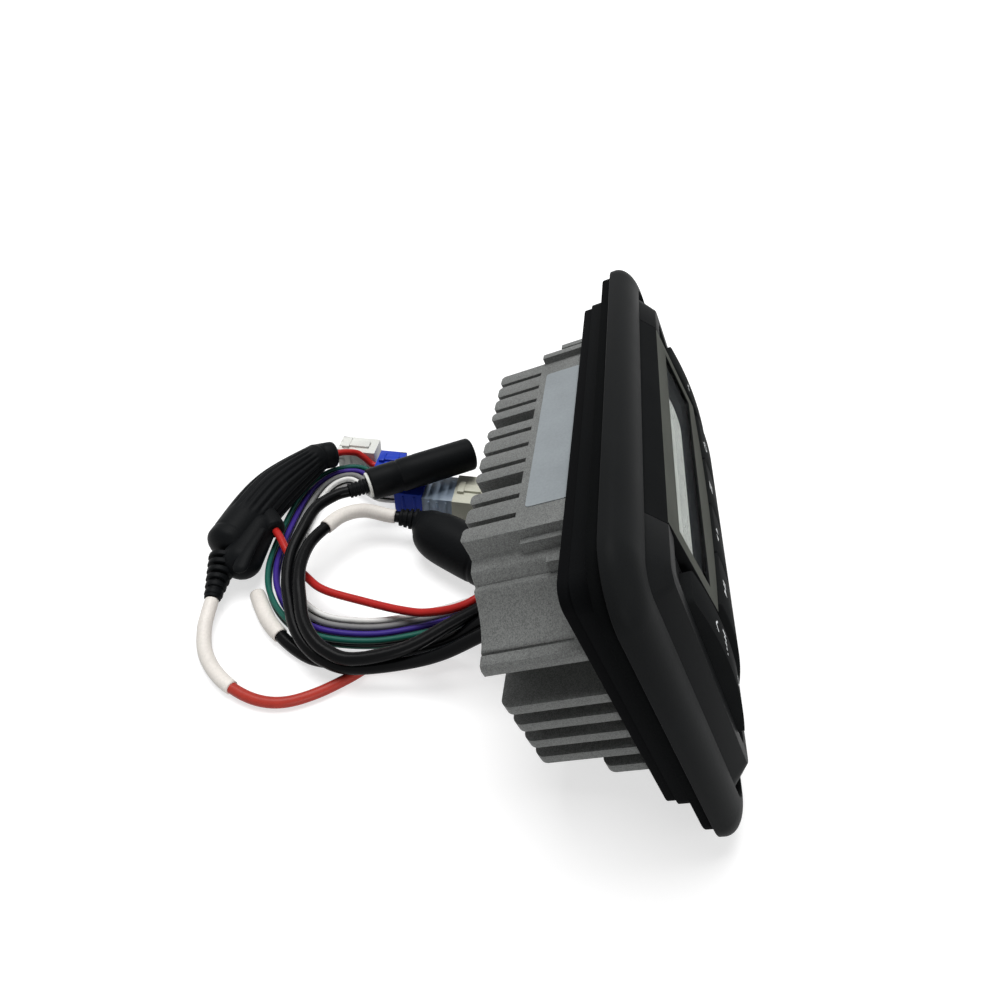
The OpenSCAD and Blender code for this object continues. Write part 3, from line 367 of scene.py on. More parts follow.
FINISH["lcd"] = display_finish()
print("display field:", FIELD_H, "mm high, to", FIELD_END, "mm right of the middle")

# %% [markdown]
# ## The loom
# A free cable is one smooth curve. Its route is the short list of points from the drawing, in millimetres
# on the table, and a Catmull-Rom curve runs through them. The tube is made ring by ring along that curve,
# because each ring then carries a UV map: one turn round the wire across, its length along, which is what
# a coloured tracer follows. The supply lead and the red tail run on a little inside the fuse holder and a
# connector, as crimped wires do.

# %% Curves and tubes
ROUTE_STEPS = 8
TUBE_SIDES = 14
SMOOTH_TO = 40
EXIT_DEPTH = CHASSIS_REAR + 1.5
EXIT_RUN = 11


def smooth_route(points, steps=ROUTE_STEPS):
    points = [Vector(p) for p in points]
    last = len(points) - 1
    found = []
    for i in range(last):
        a, b, c, d = (points[max(0, min(last, i + k))] for k in (-1, 0, 1, 2))
        for k in range(steps):
            t = k / steps
            found.append(0.5 * (2 * b + (c - a) * t + (2 * a - 5 * b + 4 * c - d) * t * t
                                + (3 * b - a - 3 * c + d) * t ** 3))
    return found + [points[last]]


def heading(path, i):
    return (path[min(i + 1, len(path) - 1)] - path[max(i - 1, 0)]).normalized()


def beside(direction):
    return direction.cross(Vector((0, 0, 1))).normalized()


def route_length(path):
    return sum((b - a).length for a, b in zip(path, path[1:]))


def ring_points(middle, direction, r, sides, flat=1.0):
    """Points of a ring across a direction. A function of the angle may stand for its radius."""
    side = beside(direction)
    over = side.cross(direction)
    turns = [2 * math.pi * k / sides for k in range(sides)]
    return [middle + (r(a) if callable(r) else r) * (math.cos(a) * side + flat * math.sin(a) * over)
            for a in turns]


def skin(bm, rings, loop=False, smooth=True):
    """Joins rings of points to a skin, closed by its two ends or, as a loop, by its first ring."""
    rings = [[bm.verts.new(point) for point in ring] for ring in rings]
    faces = []
    for a, b in zip(rings, rings[1:] + rings[:1] if loop else rings[1:]):
        for k in range(len(a)):
            j = (k + 1) % len(a)
            faces.append(bm.faces.new((a[k], a[j], b[j], b[k])))
            faces[-1].smooth = smooth
    if not loop:
        bm.faces.new(rings[0][::-1])
        bm.faces.new(rings[-1])
    return faces


def mesh_of(name, bm, sharp=None):
    """Ends a shape: its faces point outward, and edges over an angle in degrees are sharp."""
    bmesh.ops.recalc_face_normals(bm, faces=bm.faces)
    mesh = bpy.data.meshes.new(name)
    bm.to_mesh(mesh)
    bm.free()
    if sharp:
        mesh.set_sharp_from_angle(angle=math.radians(sharp))
    return mesh


def tube_mesh(name, path, diameters, ends=None, sides=TUBE_SIDES):
    """A closed tube along path, in metres, with its length and its turn in a UV map."""
    bm = bmesh.new()
    uv = bm.loops.layers.uv.new("UVMap")
    ways = [heading(path, i) for i in range(len(path))]
    if ends:
        ways[0], ways[-1] = ends
    along = [route_length(path[:i + 1]) for i in range(len(path))]
    rings = [ring_points(point, way, d / 2, sides) for point, way, d in zip(path, ways, diameters)]
    for n, face in enumerate(skin(bm, rings)):
        row, k = divmod(n, sides)
        corners = ((k, row), (k + 1, row), (k + 1, row + 1), (k, row + 1))
        for loop, (turned, step) in zip(face.loops, corners):
            loop[uv].uv = (turned / sides, along[step])
    return mesh_of(name, bm)


def show(mesh, coat, stands_for=(), body="root"):
    """Makes a piece of a mesh, with its finish, its body and the solids that it stands for."""
    piece = bpy.data.objects.new(mesh.name, mesh)
    bpy.context.scene.collection.objects.link(piece)
    mesh.materials.clear()
    mesh.materials.append(FINISH[coat])
    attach(piece, body)
    if stands_for:
        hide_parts(*stands_for)
    return piece


# %% Routes, repeated from the drawing
def leaves(x, y):
    """The first two points of a cable, straight out of the grommet."""
    return [on_panel(x, y, -EXIT_DEPTH) / MM, on_panel(x, y, -EXIT_DEPTH - EXIT_RUN) / MM]


CABLE_ROW, LOOM_ROW = -2.5, -9.8
GROMMET_X = -18
AERIAL_BACK = Vector((41, 95, 18.2))
AERIAL_DIR = Vector((24, -37, 2)).normalized()
AERIAL_RELIEF = 10
PLUG_BACK = Vector((30.6, 73.6, 10.3))
PLUG_DIR = Vector((1, -28, -3)).normalized()
PLUG_RELIEF = 8
FUSE_TOP = Vector((59.6, 125.2, 14.5))
BOOT_DIR = Vector((0.62, -0.75, -0.15)).normalized()
BOOT_L = 8
LOBE_END = Vector((14, 127, 12.5))
LOBE_DIR = Vector((-0.75, -0.66, 0)).normalized()
FUSE_RELIEF_END = Vector((-18, 140, 6.2))
FUSE_RELIEF_DIR = Vector((-0.97, -0.12, -0.2)).normalized()
IN_HOLDER = (-20, -14, -8, -3)
supply_exit = leaves(GROMMET_X - 9.5, LOOM_ROW)
ROUTES = {
    "aerial_cable": leaves(GROMMET_X - 15, CABLE_ROW) + [
        (-36.5, 50.5, 15.2), (-38.8, 64.5, 10), (-41, 81, 7.4), (-39.5, 90.5, 7.8), (-35.5, 98, 9),
        (-29, 104, 10.2), (-20, 109, 11.4), (-11, 113, 12.8), (0.5, 115.5, 14.6), (11.5, 115, 16.4),
        (23.5, 113.5, 17.6),
        AERIAL_BACK - (AERIAL_RELIEF + 6) * AERIAL_DIR, AERIAL_BACK - AERIAL_RELIEF * AERIAL_DIR],
    "remote_cable": leaves(GROMMET_X - 2, CABLE_ROW) + [
        (-27, 48.5, 19.8), (-36.5, 63.5, 15), (-41, 80, 12.4), (-39, 89.5, 12.7), (-34.5, 96, 13.4),
        (-28, 101, 14), (-20.5, 104.5, 14.8), (-13, 107.5, 15.8), (-4.5, 109.5, 16.4), (5.5, 109.5, 16.6),
        (15, 106.6, 16.2), (23.4, 102.5, 15.6), (28.8, 95.6, 14.2),
        PLUG_BACK - (PLUG_RELIEF + 5) * PLUG_DIR, PLUG_BACK - PLUG_RELIEF * PLUG_DIR],
    "aux_cable": leaves(GROMMET_X - 8.5, CABLE_ROW) + [
        (-28.8, 50, 12.3), (-31.4, 63, 8.2), (-34, 73, 6.8), (-36.2, 81, 5.6), (-36.8, 87, 3.8),
        (-36.2, 92.5, 2.6), (-35.2, 98, 2.4), (-32.2, 104.5, 2.5), (-28, 111, 2.9), (-23, 117, 3.1),
        (-17, 122, 3.1), (-10.8, 126.5, 3.1)],
    "power_wire": leaves(GROMMET_X + 6, CABLE_ROW) + [
        (-19.5, 46, 20.5), (-20.5, 58.5, 15.5), (-18.5, 69, 12.6), (-14.5, 84.5, 10.4), (-10.5, 100, 9.4),
        (-5, 108.5, 9.2), (0.5, 115, 10), (5, 119.5, 11.6), LOBE_END + 5 * LOBE_DIR, LOBE_END],
    "supply_lead": [FUSE_RELIEF_END + l * FUSE_RELIEF_DIR for l in IN_HOLDER + (0, 2.5, 6)] + [
        (-30, 138, 3.9), (-38.5, 134, 3.1), (-45.5, 127.5, 2.8), (-51, 119, 2.7), (-54, 109.5, 2.3),
        (-53.5, 100.5, 2.1), (-49, 91.5, 2.1), (-41.5, 82.5, 2.1), (-33, 74, 2.1), (-28.8, 64, 2.5),
        (-27.3, 52, 7), supply_exit[1], supply_exit[0]],
    "fuse_tail": [
        FUSE_TOP + BOOT_L * BOOT_DIR, FUSE_TOP + (BOOT_L + 4) * BOOT_DIR, (70.3, 111.4, 10.4),
        (70.4, 107.8, 7.8), (69.8, 105, 5.5), (69.5, 103.2, 5), (69.5, 101.6, 5), (69.5, 92, 5)],
}
LOOM = leaves(GROMMET_X + 4, LOOM_ROW) + [
    (-17.5, 46.5, 13), (-19.5, 59, 8), (-23.5, 75.5, 5.2), (-24.5, 90.5, 4.4), (-22.5, 101, 4.2),
    (-16.5, 110.5, 4), (-7.5, 118, 3.8), (2, 122, 3.8), (12.5, 123.8, 3.6), (26, 124.8, 3.2),
    (39, 125, 3.1), (51, 123.4, 3.3), (58.5, 118, 4.4), (60.5, 109.5, 5.5), (56.5, 101.5, 5.5),
    (52.5, 95, 5.5), (52.5, 88, 5.5)]
LANE_PITCH, LANE_RISE = 3, 2.8
LANES = ("wire_white_black", "wire_grey_black", "wire_purple_black", "wire_green_black",
         "wire_white", "wire_grey", "wire_purple", "wire_green")


def lane_route(lane):
    """The loom's route, moved sideways and up for one of its two layers of four wires."""
    points = [Vector(p) for p in LOOM]
    across = (lane % 4 - 1.5) * LANE_PITCH
    rise = (lane // 4 - 0.5) * LANE_RISE
    found = []
    for i, point in enumerate(points):
        direction = heading(points, i)
        side = beside(direction)
        found.append(point - across * side + rise * side.cross(direction))
    return found


for lane, wire in enumerate(LANES):
    ROUTES[wire] = lane_route(lane)
print("routes:", len(ROUTES))

# %% Lay the cables
WIRE_D = 2.2
DIAMETERS = {"aerial_cable": 4.6, "remote_cable": 4.6, "aux_cable": 4.6, "power_wire": 3, "fuse_tail": 3,
             "supply_lead": 3.8, **dict.fromkeys(LANES, WIRE_D)}
COATS = {"aerial_cable": "black_sheath", "remote_cable": "black_sheath", "aux_cable": "black_sheath",
         "power_wire": "red_wire", "fuse_tail": "red_wire", "supply_lead": "orange_wire",
         **{wire: wire.removeprefix("wire_") + "_wire" for wire in LANES}}
paths, cables = {}, {}
for name, route in ROUTES.items():
    path = [p * MM for p in smooth_route(route)]
    line = [Vector(p) for p in (LOOM if name in LANES else route)]
    ends = [(line[i + 1] - line[i]).normalized() for i in (0, len(line) - 2)]
    mesh = tube_mesh(name + "_lay", path, [DIAMETERS[name] * MM] * len(path), ends)
    paths[name], cables[name] = path, show(mesh, COATS[name], [name])
    print(name, round(route_length(path), 3), "m")

# %% [markdown]
# ### Shrunk sleeves
# Three cables wear a length of white heat-shrink tube. It is a short tube round the same curve that grips
# the cable tightly at both ends and bulges a little between, so its diameter follows a rule.

# %% Sleeves
SLEEVE_D, SLEEVE_STEP = 5.8, 0.8
SLEEVE_GRIP, GRIP_RUN, SLEEVE_SIDES = 0.3, 1.5, 20


def sleeve(name, cable, first, last, diameter):
    path = paths[cable][first:last]
    edges = [min(i, len(path) - 1 - i) for i in range(len(path))]
    widths = [(diameter - SLEEVE_GRIP * math.exp(-edge / GRIP_RUN)) * MM for edge in edges]
    return show(tube_mesh(name + "_shrunk", path, widths, sides=SLEEVE_SIDES), "white_sleeve", [name])


HALF_STEP = ROUTE_STEPS // 2
remote_sleeve = sleeve("remote_sleeve", "remote_cable", -1 - 8 * HALF_STEP, -HALF_STEP, SLEEVE_D)
aux_sleeve = sleeve("aux_sleeve", "aux_cable", -1 - 6 * HALF_STEP, None, SLEEVE_D)
leaves_holder = 1 + len(IN_HOLDER) * ROUTE_STEPS
supply_sleeve = sleeve("supply_sleeve", "supply_lead", leaves_holder, leaves_holder + 12 * HALF_STEP,
                       SLEEVE_D - SLEEVE_STEP)
print("sleeves:", [piece.name for piece in (remote_sleeve, aux_sleeve, supply_sleeve)])

# %% [markdown]
# ## Turned pieces
# The aerial socket and its white ring are round about one axis, so each is a profile of radius and
# distance, turned about its axis. Small steps in the profile make the grip grooves.

# %% Turning
TURN_SIDES = 48


def turn(name, start, direction, profile, hollow=False):
    """Turns a profile of (radius, distance) in millimetres about an axis. Its ends are closed or joined."""
    bm = bmesh.new()
    rings = [ring_points(start + z * direction, direction, r, TURN_SIDES) for r, z in profile]
    skin(bm, [[point * MM for point in ring] for ring in rings], loop=hollow)
    return mesh_of(name, bm, sharp=SMOOTH_TO)


AERIAL_R, AERIAL_L, AERIAL_BORE_R, AERIAL_BORE_L = 7, 44, 4.5, 20
RING_R, RING_HOLE_R, RING_BED = 5.3, 3.5, 1.2
SOCKET_PROFILE = [
    (2.4, RING_BED), (RING_R, RING_BED), (RING_R, -1.0), (RING_R + 0.3, -1.4), (6.0, -1.4), (6.4, -1.1),
    (6.6, -0.4), (6.75, 5.5), (6.75, 10.6), (6.55, 11.0), (6.55, 11.5), (6.9, 12.0),
    (6.9, 19.0), (AERIAL_R, 19.4), (AERIAL_R, AERIAL_L - 1.4), (6.85, AERIAL_L - 0.6),
    (6.4, AERIAL_L - 0.1), (6.0, AERIAL_L), (AERIAL_BORE_R + 0.3, AERIAL_L),
    (AERIAL_BORE_R, AERIAL_L - 0.4),
    (AERIAL_BORE_R, AERIAL_L - AERIAL_BORE_L), (0.9, AERIAL_L - AERIAL_BORE_L), (0.9, AERIAL_L - 8),
    (0.6, AERIAL_L - 7)]
RING_PROFILE = [(RING_HOLE_R, -2.2), (RING_HOLE_R + 0.2, -2.4), (RING_R - 0.4, -2.4), (RING_R - 0.05, -2.0),
                (RING_R - 0.05, RING_BED), (RING_HOLE_R, RING_BED)]
socket_mesh = turn("aerial_socket_turned", AERIAL_BACK, AERIAL_DIR, SOCKET_PROFILE)
aerial_socket = show(socket_mesh, "moulded_black", ["aerial_socket"])
ring_mesh = turn("aerial_ring_turned", AERIAL_BACK, AERIAL_DIR, RING_PROFILE, hollow=True)
aerial_ring = show(ring_mesh, "white_plastic", ["aerial_ring"])
print("aerial socket:", len(SOCKET_PROFILE), "steps in its profile")

# %% [markdown]
# ### Strain reliefs
# Where a cable enters a moulding, a row of ribs keeps it from bending sharply. The ribs repeat along an
# axis and grow by a rule, so a Geometry Nodes tree makes them: a line of points, one rounded ring on each,
# scaled by its place in the row, round a plain core. The result is turned into a plain mesh.

# %% Helpers for trees of Geometry Nodes
def new_tree(name, inputs):
    """A tree with the given inputs, a place, a turn and a material, with its input and output sockets."""
    tree = bpy.data.node_groups.new(name, "GeometryNodeTree")
    inputs = {**inputs, "Rotation": "Vector", "Place": "Vector", "Material": "Material"}
    for label, kind in inputs.items():
        tree.interface.new_socket(label, in_out="INPUT", socket_type="NodeSocket" + kind)
    tree.interface.new_socket("Geometry", in_out="OUTPUT", socket_type="NodeSocketGeometry")
    return tree, add_node(tree, "NodeGroupInput").outputs, add_node(tree, "NodeGroupOutput").inputs


def end_tree(tree, ins, outs, geometry):
    """Makes the copies real, puts them in their place and gives them their material."""
    real = result(tree, "GeometryNodeRealizeInstances", {0: geometry})
    aimed = result(tree, "GeometryNodeTransform", {
        0: real, "Rotation": ins["Rotation"], "Translation": ins["Place"]})
    feed(tree, outs, {0: result(tree, "GeometryNodeSetMaterial", {0: aimed, "Material": ins["Material"]})})
    return tree


def vector(tree, **parts):
    return result(tree, "ShaderNodeCombineXYZ", parts)


def rod(tree, radius, depth, share, sides):
    """A round rod, moved along its axis by a share of its length."""
    made = result(tree, "GeometryNodeMeshCylinder", {"Vertices": sides, "Radius": radius, "Depth": depth})
    return moved(tree, made, maths(tree, "MULTIPLY", depth, share))


def moved(tree, geometry, z):
    return result(tree, "GeometryNodeTransform", {0: geometry, "Translation": vector(tree, Z=z)})


def joined(tree, *parts):
    node = add_node(tree, "GeometryNodeJoinGeometry")
    for part in parts:
        tree.links.new(part, node.inputs[0])
    return node.outputs[0]


def grow(name, tree, values):
    """Runs a tree with named input values, and returns its result as a plain mesh."""
    maker = bpy.data.objects.new(name + "_maker", bpy.data.meshes.new(name + "_seed"))
    bpy.context.scene.collection.objects.link(maker)
    modifier = maker.modifiers.new("grow", "NODES")
    modifier.node_group = tree
    for item in tree.interface.items_tree:
        if item.in_out == "INPUT":
            modifier[item.identifier] = values[item.name]
    return made_real(name, maker)


def made_real(name, maker):
    """The plain mesh that an object's modifiers make. The object is removed."""
    bpy.context.view_layer.update()
    mesh = bpy.data.meshes.new_from_object(maker.evaluated_get(bpy.context.evaluated_depsgraph_get()))
    source = maker.data
    bpy.data.objects.remove(maker)
    bpy.data.meshes.remove(source)
    mesh.name = name
    return mesh


# %% A tree for ribs
RIB_SIDES, RIB_START, RIB_DEPTH = 28, 0.31, 0.6


def relief_tree():
    tree, ins, outs = new_tree("relief_ribs", {
        "Ribs": "Int", "Step": "Float", "First radius": "Float", "Last radius": "Float", "Core": "Float"})
    step, count = ins["Step"], ins["Ribs"]
    points = result(tree, "GeometryNodeMeshLine", {
        "Count": count, "Offset": vector(tree, Z=step),
        "Start Location": vector(tree, Z=maths(tree, "MULTIPLY", step, RIB_START))})
    ring = result(tree, "GeometryNodeMeshCylinder", {
        "Vertices": RIB_SIDES, "Radius": 1.0, "Depth": maths(tree, "MULTIPLY", step, RIB_DEPTH)})
    share = maths(tree, "DIVIDE", add_node(tree, "GeometryNodeInputIndex").outputs[0],
                  maths(tree, "SUBTRACT", count, 1.0))
    radius = spread_value(tree, share, ins["First radius"], ins["Last radius"])
    placed = result(tree, "GeometryNodeInstanceOnPoints", {
        "Points": points, "Instance": ring, "Scale": vector(tree, X=radius, Y=radius, Z=1.0)})
    core = rod(tree, ins["Core"], maths(tree, "MULTIPLY", step, count), 0.5, RIB_SIDES)
    return end_tree(tree, ins, outs, joined(tree, placed, core))


# %% Round edges
WELD, FLAT_TO, ROUND_FROM = 2e-6, 0.5, 30


def soften_mesh(mesh, width, segments=2):
    """Rounds the sharp edges of a closed mesh, in millimetres, after its flat triangles are joined."""
    bm = bmesh.new()
    bm.from_mesh(mesh)
    bmesh.ops.remove_doubles(bm, verts=bm.verts, dist=WELD)
    bmesh.ops.dissolve_limit(bm, angle_limit=math.radians(FLAT_TO), verts=bm.verts, edges=bm.edges)
    if width:
        sharp = [edge for edge in bm.edges
                 if len(edge.link_faces) == 2 and edge.calc_face_angle() > math.radians(ROUND_FROM)]
        bmesh.ops.bevel(bm, geom=sharp, offset=width * MM, offset_type="OFFSET", segments=segments,
                        profile=0.5, affect="EDGES", clamp_overlap=True)
    for face in bm.faces:
        face.smooth = True
    bm.to_mesh(mesh)
    bm.free()
    mesh.set_sharp_from_angle(angle=math.radians(SMOOTH_TO))
    return mesh


# %% Grow the strain reliefs
RELIEF_TREE = relief_tree()
RIB_EDGE, RIB_HEIGHT = 0.18, 0.35
CABLE_R = DIAMETERS["aerial_cable"] / 2
FUSE_RELIEF_L = 18


def relief(name, at, direction, length, first, last, ribs):
    mesh = grow(name, RELIEF_TREE, {
        "Ribs": ribs, "Step": length / ribs * MM, "First radius": first * MM, "Last radius": last * MM,
        "Core": (min(first, last) - RIB_HEIGHT) * MM, "Place": tuple(at * MM),
        "Rotation": tuple(direction.to_track_quat("Z", "Y").to_euler()), "Material": FINISH["moulded_black"]})
    return show(soften_mesh(mesh, RIB_EDGE), "moulded_black")


aerial_relief = relief("aerial_relief", AERIAL_BACK - AERIAL_RELIEF * AERIAL_DIR, AERIAL_DIR,
                       AERIAL_RELIEF + 1, CABLE_R + 0.7, CABLE_R + 1.0, 7)
plug_relief = relief("plug_relief", PLUG_BACK - PLUG_RELIEF * PLUG_DIR, PLUG_DIR,
                     PLUG_RELIEF, CABLE_R + 1.2, CABLE_R + 2.2, 4)
fuse_relief = relief("fuse_relief", FUSE_RELIEF_END - FUSE_RELIEF_L * FUSE_RELIEF_DIR, FUSE_RELIEF_DIR,
                     FUSE_RELIEF_L, 5.6, 3.3, 6)
print("fuse relief:", len(fuse_relief.data.polygons), "faces")

# %% [markdown]
# ## Soft mouldings
# The fuse holder and the remote plug are soft, swollen mouldings. Each is a loft: round sections set along
# a smooth line, where the centre and the radius of each section come from a few measured stations. Long
# flutes for the fingers run along the fuse holder, so the radius also changes round each section. A seam is
# a narrow dip in the radius, where one moulding meets the next.

# %% Loft the soft mouldings
LOFT_STEPS, CAP_STEPS = 40, 8
SEAM_DEPTH, SEAM_HALF = 0.3, 0.5
FADE_RUN, TIP_R = 0.08, 0.02


def fade(share, first, last):
    """1 between two shares of a length and 0 outside them, with soft ends."""
    return max(0.0, min(1.0, (share - first) / FADE_RUN, (last - share) / FADE_RUN))


def loft(name, stations, flutes=None, seams=(), flat=1.0, blunt=1.0, sides=48):
    """A closed body through (centre, radius) stations in millimetres, with rounded ends.

    flutes gives (first, last, count, depth) for grooves along it, and seams the shares with one round it."""
    line = smooth_route([c for c, r in stations], LOFT_STEPS)
    radii = [v.x for v in smooth_route([(r, 0, 0) for c, r in stations], LOFT_STEPS)]
    length = route_length(line)
    first, last = heading(line, 0), heading(line, len(line) - 1)
    sections = []
    for k in range(CAP_STEPS):
        a = math.pi / 2 * k / CAP_STEPS
        sections.append((line[0] - blunt * radii[0] * math.cos(a) * first, radii[0] * math.sin(a) + TIP_R,
                         first, 0))
    for i, (point, r) in enumerate(zip(line, radii)):
        share = i / (len(line) - 1)
        r -= SEAM_DEPTH * sum(math.exp(-((share - s) * length / SEAM_HALF) ** 2) for s in seams)
        groove = flutes[3] * fade(share, *flutes[:2]) if flutes else 0
        sections.append((point, r, heading(line, i), groove))
    for k in range(CAP_STEPS):
        a = math.pi / 2 * (k + 1) / CAP_STEPS
        sections.append((line[-1] + blunt * radii[-1] * math.sin(a) * last, radii[-1] * math.cos(a) + TIP_R,
                         last, 0))
    rings = []
    for middle, r, direction, groove in sections:
        def radius(a):
            return r - (groove * (0.5 - 0.5 * math.cos(flutes[2] * a)) ** 2 if groove else 0)

        rings.append([point * MM for point in ring_points(middle, direction, radius, sides, flat)])
    bm = bmesh.new()
    skin(bm, rings)
    return mesh_of(name, bm)


# %% The fuse holder and the remote plug
FUSE_BODY = [(FUSE_TOP, 6.2), ((35, 137, 12.5), 9.4), ((6, 143, 10.5), 8.8)]
FUSE_SHELL = [((0, 135.5, 9), 7.5), ((15, 134, 11.5), 6)]
FUSE_CLIP = [((10, 130.8, 15.6), 1.6), ((0, 131.8, 14.9), 2.6), ((-7.5, 132, 13.6), 2.8)]
FUSE_FLUTES = (0.06, 0.78, 20, 0.75)
LOBE_L = 10
LOBE_PROFILE = [(4.2, 0), (4.2, 8.2), (4.0, 9.2), (3.4, 9.8), (2.6, LOBE_L), (1.5, LOBE_L)]
BOOT_PROFILE = [(5.8, -1), (5.8, 2.0), (5.6, 2.3), (5.8, 2.6), (5.75, 6.4), (5.4, 7.4), (4.6, BOOT_L),
                (1.5, BOOT_L)]
PLUG_BODY = [(PLUG_BACK, 4.4), ((27.4, 69.5, 10.3), 7.6), ((22.6, 64, 10.3), 10.0),
             ((16.5, 53, 10.6), 10.6), ((11, 42, 10.6), 10.6)]
fuse_mesh = loft("fuse_holder_body", FUSE_BODY, FUSE_FLUTES, seams=(0.92,), blunt=0.6, sides=120)
fuse_holder = show(fuse_mesh, "moulded_black", ["fuse_holder"])
fuse_shell = show(loft("fuse_shell", FUSE_SHELL), "moulded_black")
fuse_clip = show(loft("fuse_clip", FUSE_CLIP, flat=0.5, sides=28), "moulded_black")
fuse_lobe = show(turn("fuse_lobe", LOBE_END - LOBE_L * LOBE_DIR, LOBE_DIR, LOBE_PROFILE), "moulded_black")
fuse_boot = show(turn("fuse_boot", FUSE_TOP, BOOT_DIR, BOOT_PROFILE), "moulded_black")
plug_mesh = loft("remote_plug_body", PLUG_BODY, seams=(0.9,), flat=0.97, blunt=0.5)
remote_plug = show(plug_mesh, "moulded_black", ["remote_plug"])
print("fuse holder:", len(fuse_mesh.polygons), "faces")

# %% [markdown]
# ## Rounded solids
# Moulded and cast parts have no knife edges. For each such part a copy of its solid is taken, its flat
# triangles are joined, and its sharp edges get a small rounding. The copy then stands for the solid.

# %% Round the edges of the solids
def rounded_copy(node, width, segments=2):
    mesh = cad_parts[node].data.copy()
    mesh.name = node + "_rounded"
    return soften_mesh(mesh, width, segments)


EDGES = {"wall_gasket": (0.4, "gasket_foam"), "chassis_seal": (0.4, "seal_rubber"),
         "face_panel": (0.25, "face_plastic"), "display_pod": (0.3, "pod_plastic"),
         "loom_grommet": (0.5, "seal_rubber")}
rounded = {node: show(rounded_copy(node, width), coat, [node]) for node, (width, coat) in EDGES.items()}
print("rounded:", list(rounded))

# %% Mark the front of the pod
FRONT_COSINE = 0.97
pod = rounded["display_pod"]
outward = (on_pod(0, 0, 1) - on_pod(0, 0, 0)).normalized()
# The faces marked front get the pod's painted reflection.
front = pod.data.attributes.new("front", "FLOAT", "FACE")
for face, mark in zip(pod.data.polygons, front.data):
    mark.value = 1.0 if face.normal.dot(outward) > FRONT_COSINE else 0.0
print("pod:", sum(mark.value > 0 for mark in front.data), "front faces")

# %% [markdown]
# ### The crease along the chassis
# Where the hollow side of the casting meets its lip there is a sharp crease, left by the edge of the mould.
# It is cut into both sides of the rounded copy with a thin four-sided rod, and the cut is made real.

# %% Cut the creases
CHASSIS_EDGE = 0.45
CREASE_X, CREASE_Y, CREASE_R, CREASE_FRONT, CREASE_PAST = 65, 23.4, 0.45, 17, 2


def rod_mesh(name, x, y, r, z_from, z_to):
    """A thin four-sided rod along the depth of the stereo."""
    bm = bmesh.new()
    corners = ((1, 0), (0, 1), (-1, 0), (0, -1))
    skin(bm, [[on_panel(x + u * r, y + v * r, z) for u, v in corners] for z in (z_from, z_to)], smooth=False)
    return mesh_of(name, bm)


def cut(mesh, tools):
    """The mesh less each of the tools, as a plain mesh of the same name."""
    body, *cutters = [bpy.data.objects.new(part.name, part) for part in (mesh, *tools)]
    for thing in (body, *cutters):
        bpy.context.scene.collection.objects.link(thing)
    for cutter in cutters:
        modifier = body.modifiers.new("cut", "BOOLEAN")
        modifier.operation, modifier.solver, modifier.object = "DIFFERENCE", "EXACT", cutter
    done = made_real(mesh.name, body)
    for cutter in cutters:
        bpy.data.objects.remove(cutter)
    return done


creases = [rod_mesh("crease", side * CREASE_X, CREASE_Y, CREASE_R, -CHASSIS_REAR - CREASE_PAST,
                    -CREASE_FRONT)
           for side in (-1, 1)]
chassis_mesh = cut(rounded_copy("chassis", CHASSIS_EDGE), creases)
chassis_mesh.set_sharp_from_angle(angle=math.radians(SMOOTH_TO))
show(chassis_mesh, "die_cast", ["chassis"])
print("chassis with its creases:", len(chassis_mesh.polygons), "faces")

# %% [markdown]
# ### The keys
# Each key is rounded a little more and rides on its own body, so it moves when it is pressed.

# %% Round the keys
BUTTONS = ("source_button", "band_button", "menu_button", "power_button")
KEY_EDGE, KEY_SEGMENTS = 0.45, 3
for key in (*BUTTONS, "volume_rocker", "track_rocker"):
    piece = show(rounded_copy(key, KEY_EDGE, KEY_SEGMENTS), "key_plastic", [key], body=key)
    print(piece.name, "rides on", key)

# %% [markdown]
# ## Connectors
# A connector shell is a box with a latch on top, guide ribs on its sides and a comb of cells at its mouth.
# The parts of a shell are a short list of boxes, and one function rounds their edges. The cells are worked
# out from the size of the mouth and the number of contacts.

# %% Build the connectors
CELL_WALL, CELL_DEPTH = 0.9, 3.0
LATCH_RISE, LATCH_ROOT, LATCH_HEAD = 1.0, 0.3, 1.2
GUIDE_REACH, GUIDE_T = 0.4, 1.1
SHELL_EDGE = 0.25


def cells(corner, size, columns, rows, mouth=-1):
    """Walls round a grid of contact cells at the y end of a shell, and the shortened block behind them."""
    (x, y, z), (w, l, h) = corner, size
    y_mouth = y if mouth < 0 else y + l - CELL_DEPTH
    boxes = [((x, y + (CELL_DEPTH if mouth < 0 else 0), z), (w, l - CELL_DEPTH, h))]
    for k in range(columns + 1):
        at = x + (w - CELL_WALL) * k / columns
        boxes.append(((at, y_mouth, z), (CELL_WALL, CELL_DEPTH, h)))
    for k in range(rows + 1):
        at = z + (h - CELL_WALL) * k / rows
        boxes.append(((x, y_mouth, at), (w, CELL_DEPTH, CELL_WALL)))
    return boxes


def latch(corner, size, width=4.5):
    """A tongue along the top of a shell, rooted a little in it, with a wider head near its end."""
    (x, y, z), (w, l, h) = corner, size
    left, root = x + w / 2 - width / 2, z + h - LATCH_ROOT
    head = (width + 2 * LATCH_HEAD, 0.2 * l, LATCH_RISE + 2 * LATCH_ROOT)
    return [((left, y + 0.2 * l, root), (width, 0.65 * l, LATCH_RISE + LATCH_ROOT)),
            ((left - LATCH_HEAD, y + 0.7 * l, root), head)]


def side_ribs(corner, size, count):
    """Upright guide ribs that stand out a little on both sides of a shell, evenly along it."""
    (x, y, z), (w, l, h) = corner, size
    rib = (w + 2 * GUIDE_REACH, GUIDE_T, 0.76 * h)
    return [((x - GUIDE_REACH, y + l * (k + 0.6) / (count + 0.5), z + 0.12 * h), rib) for k in range(count)]


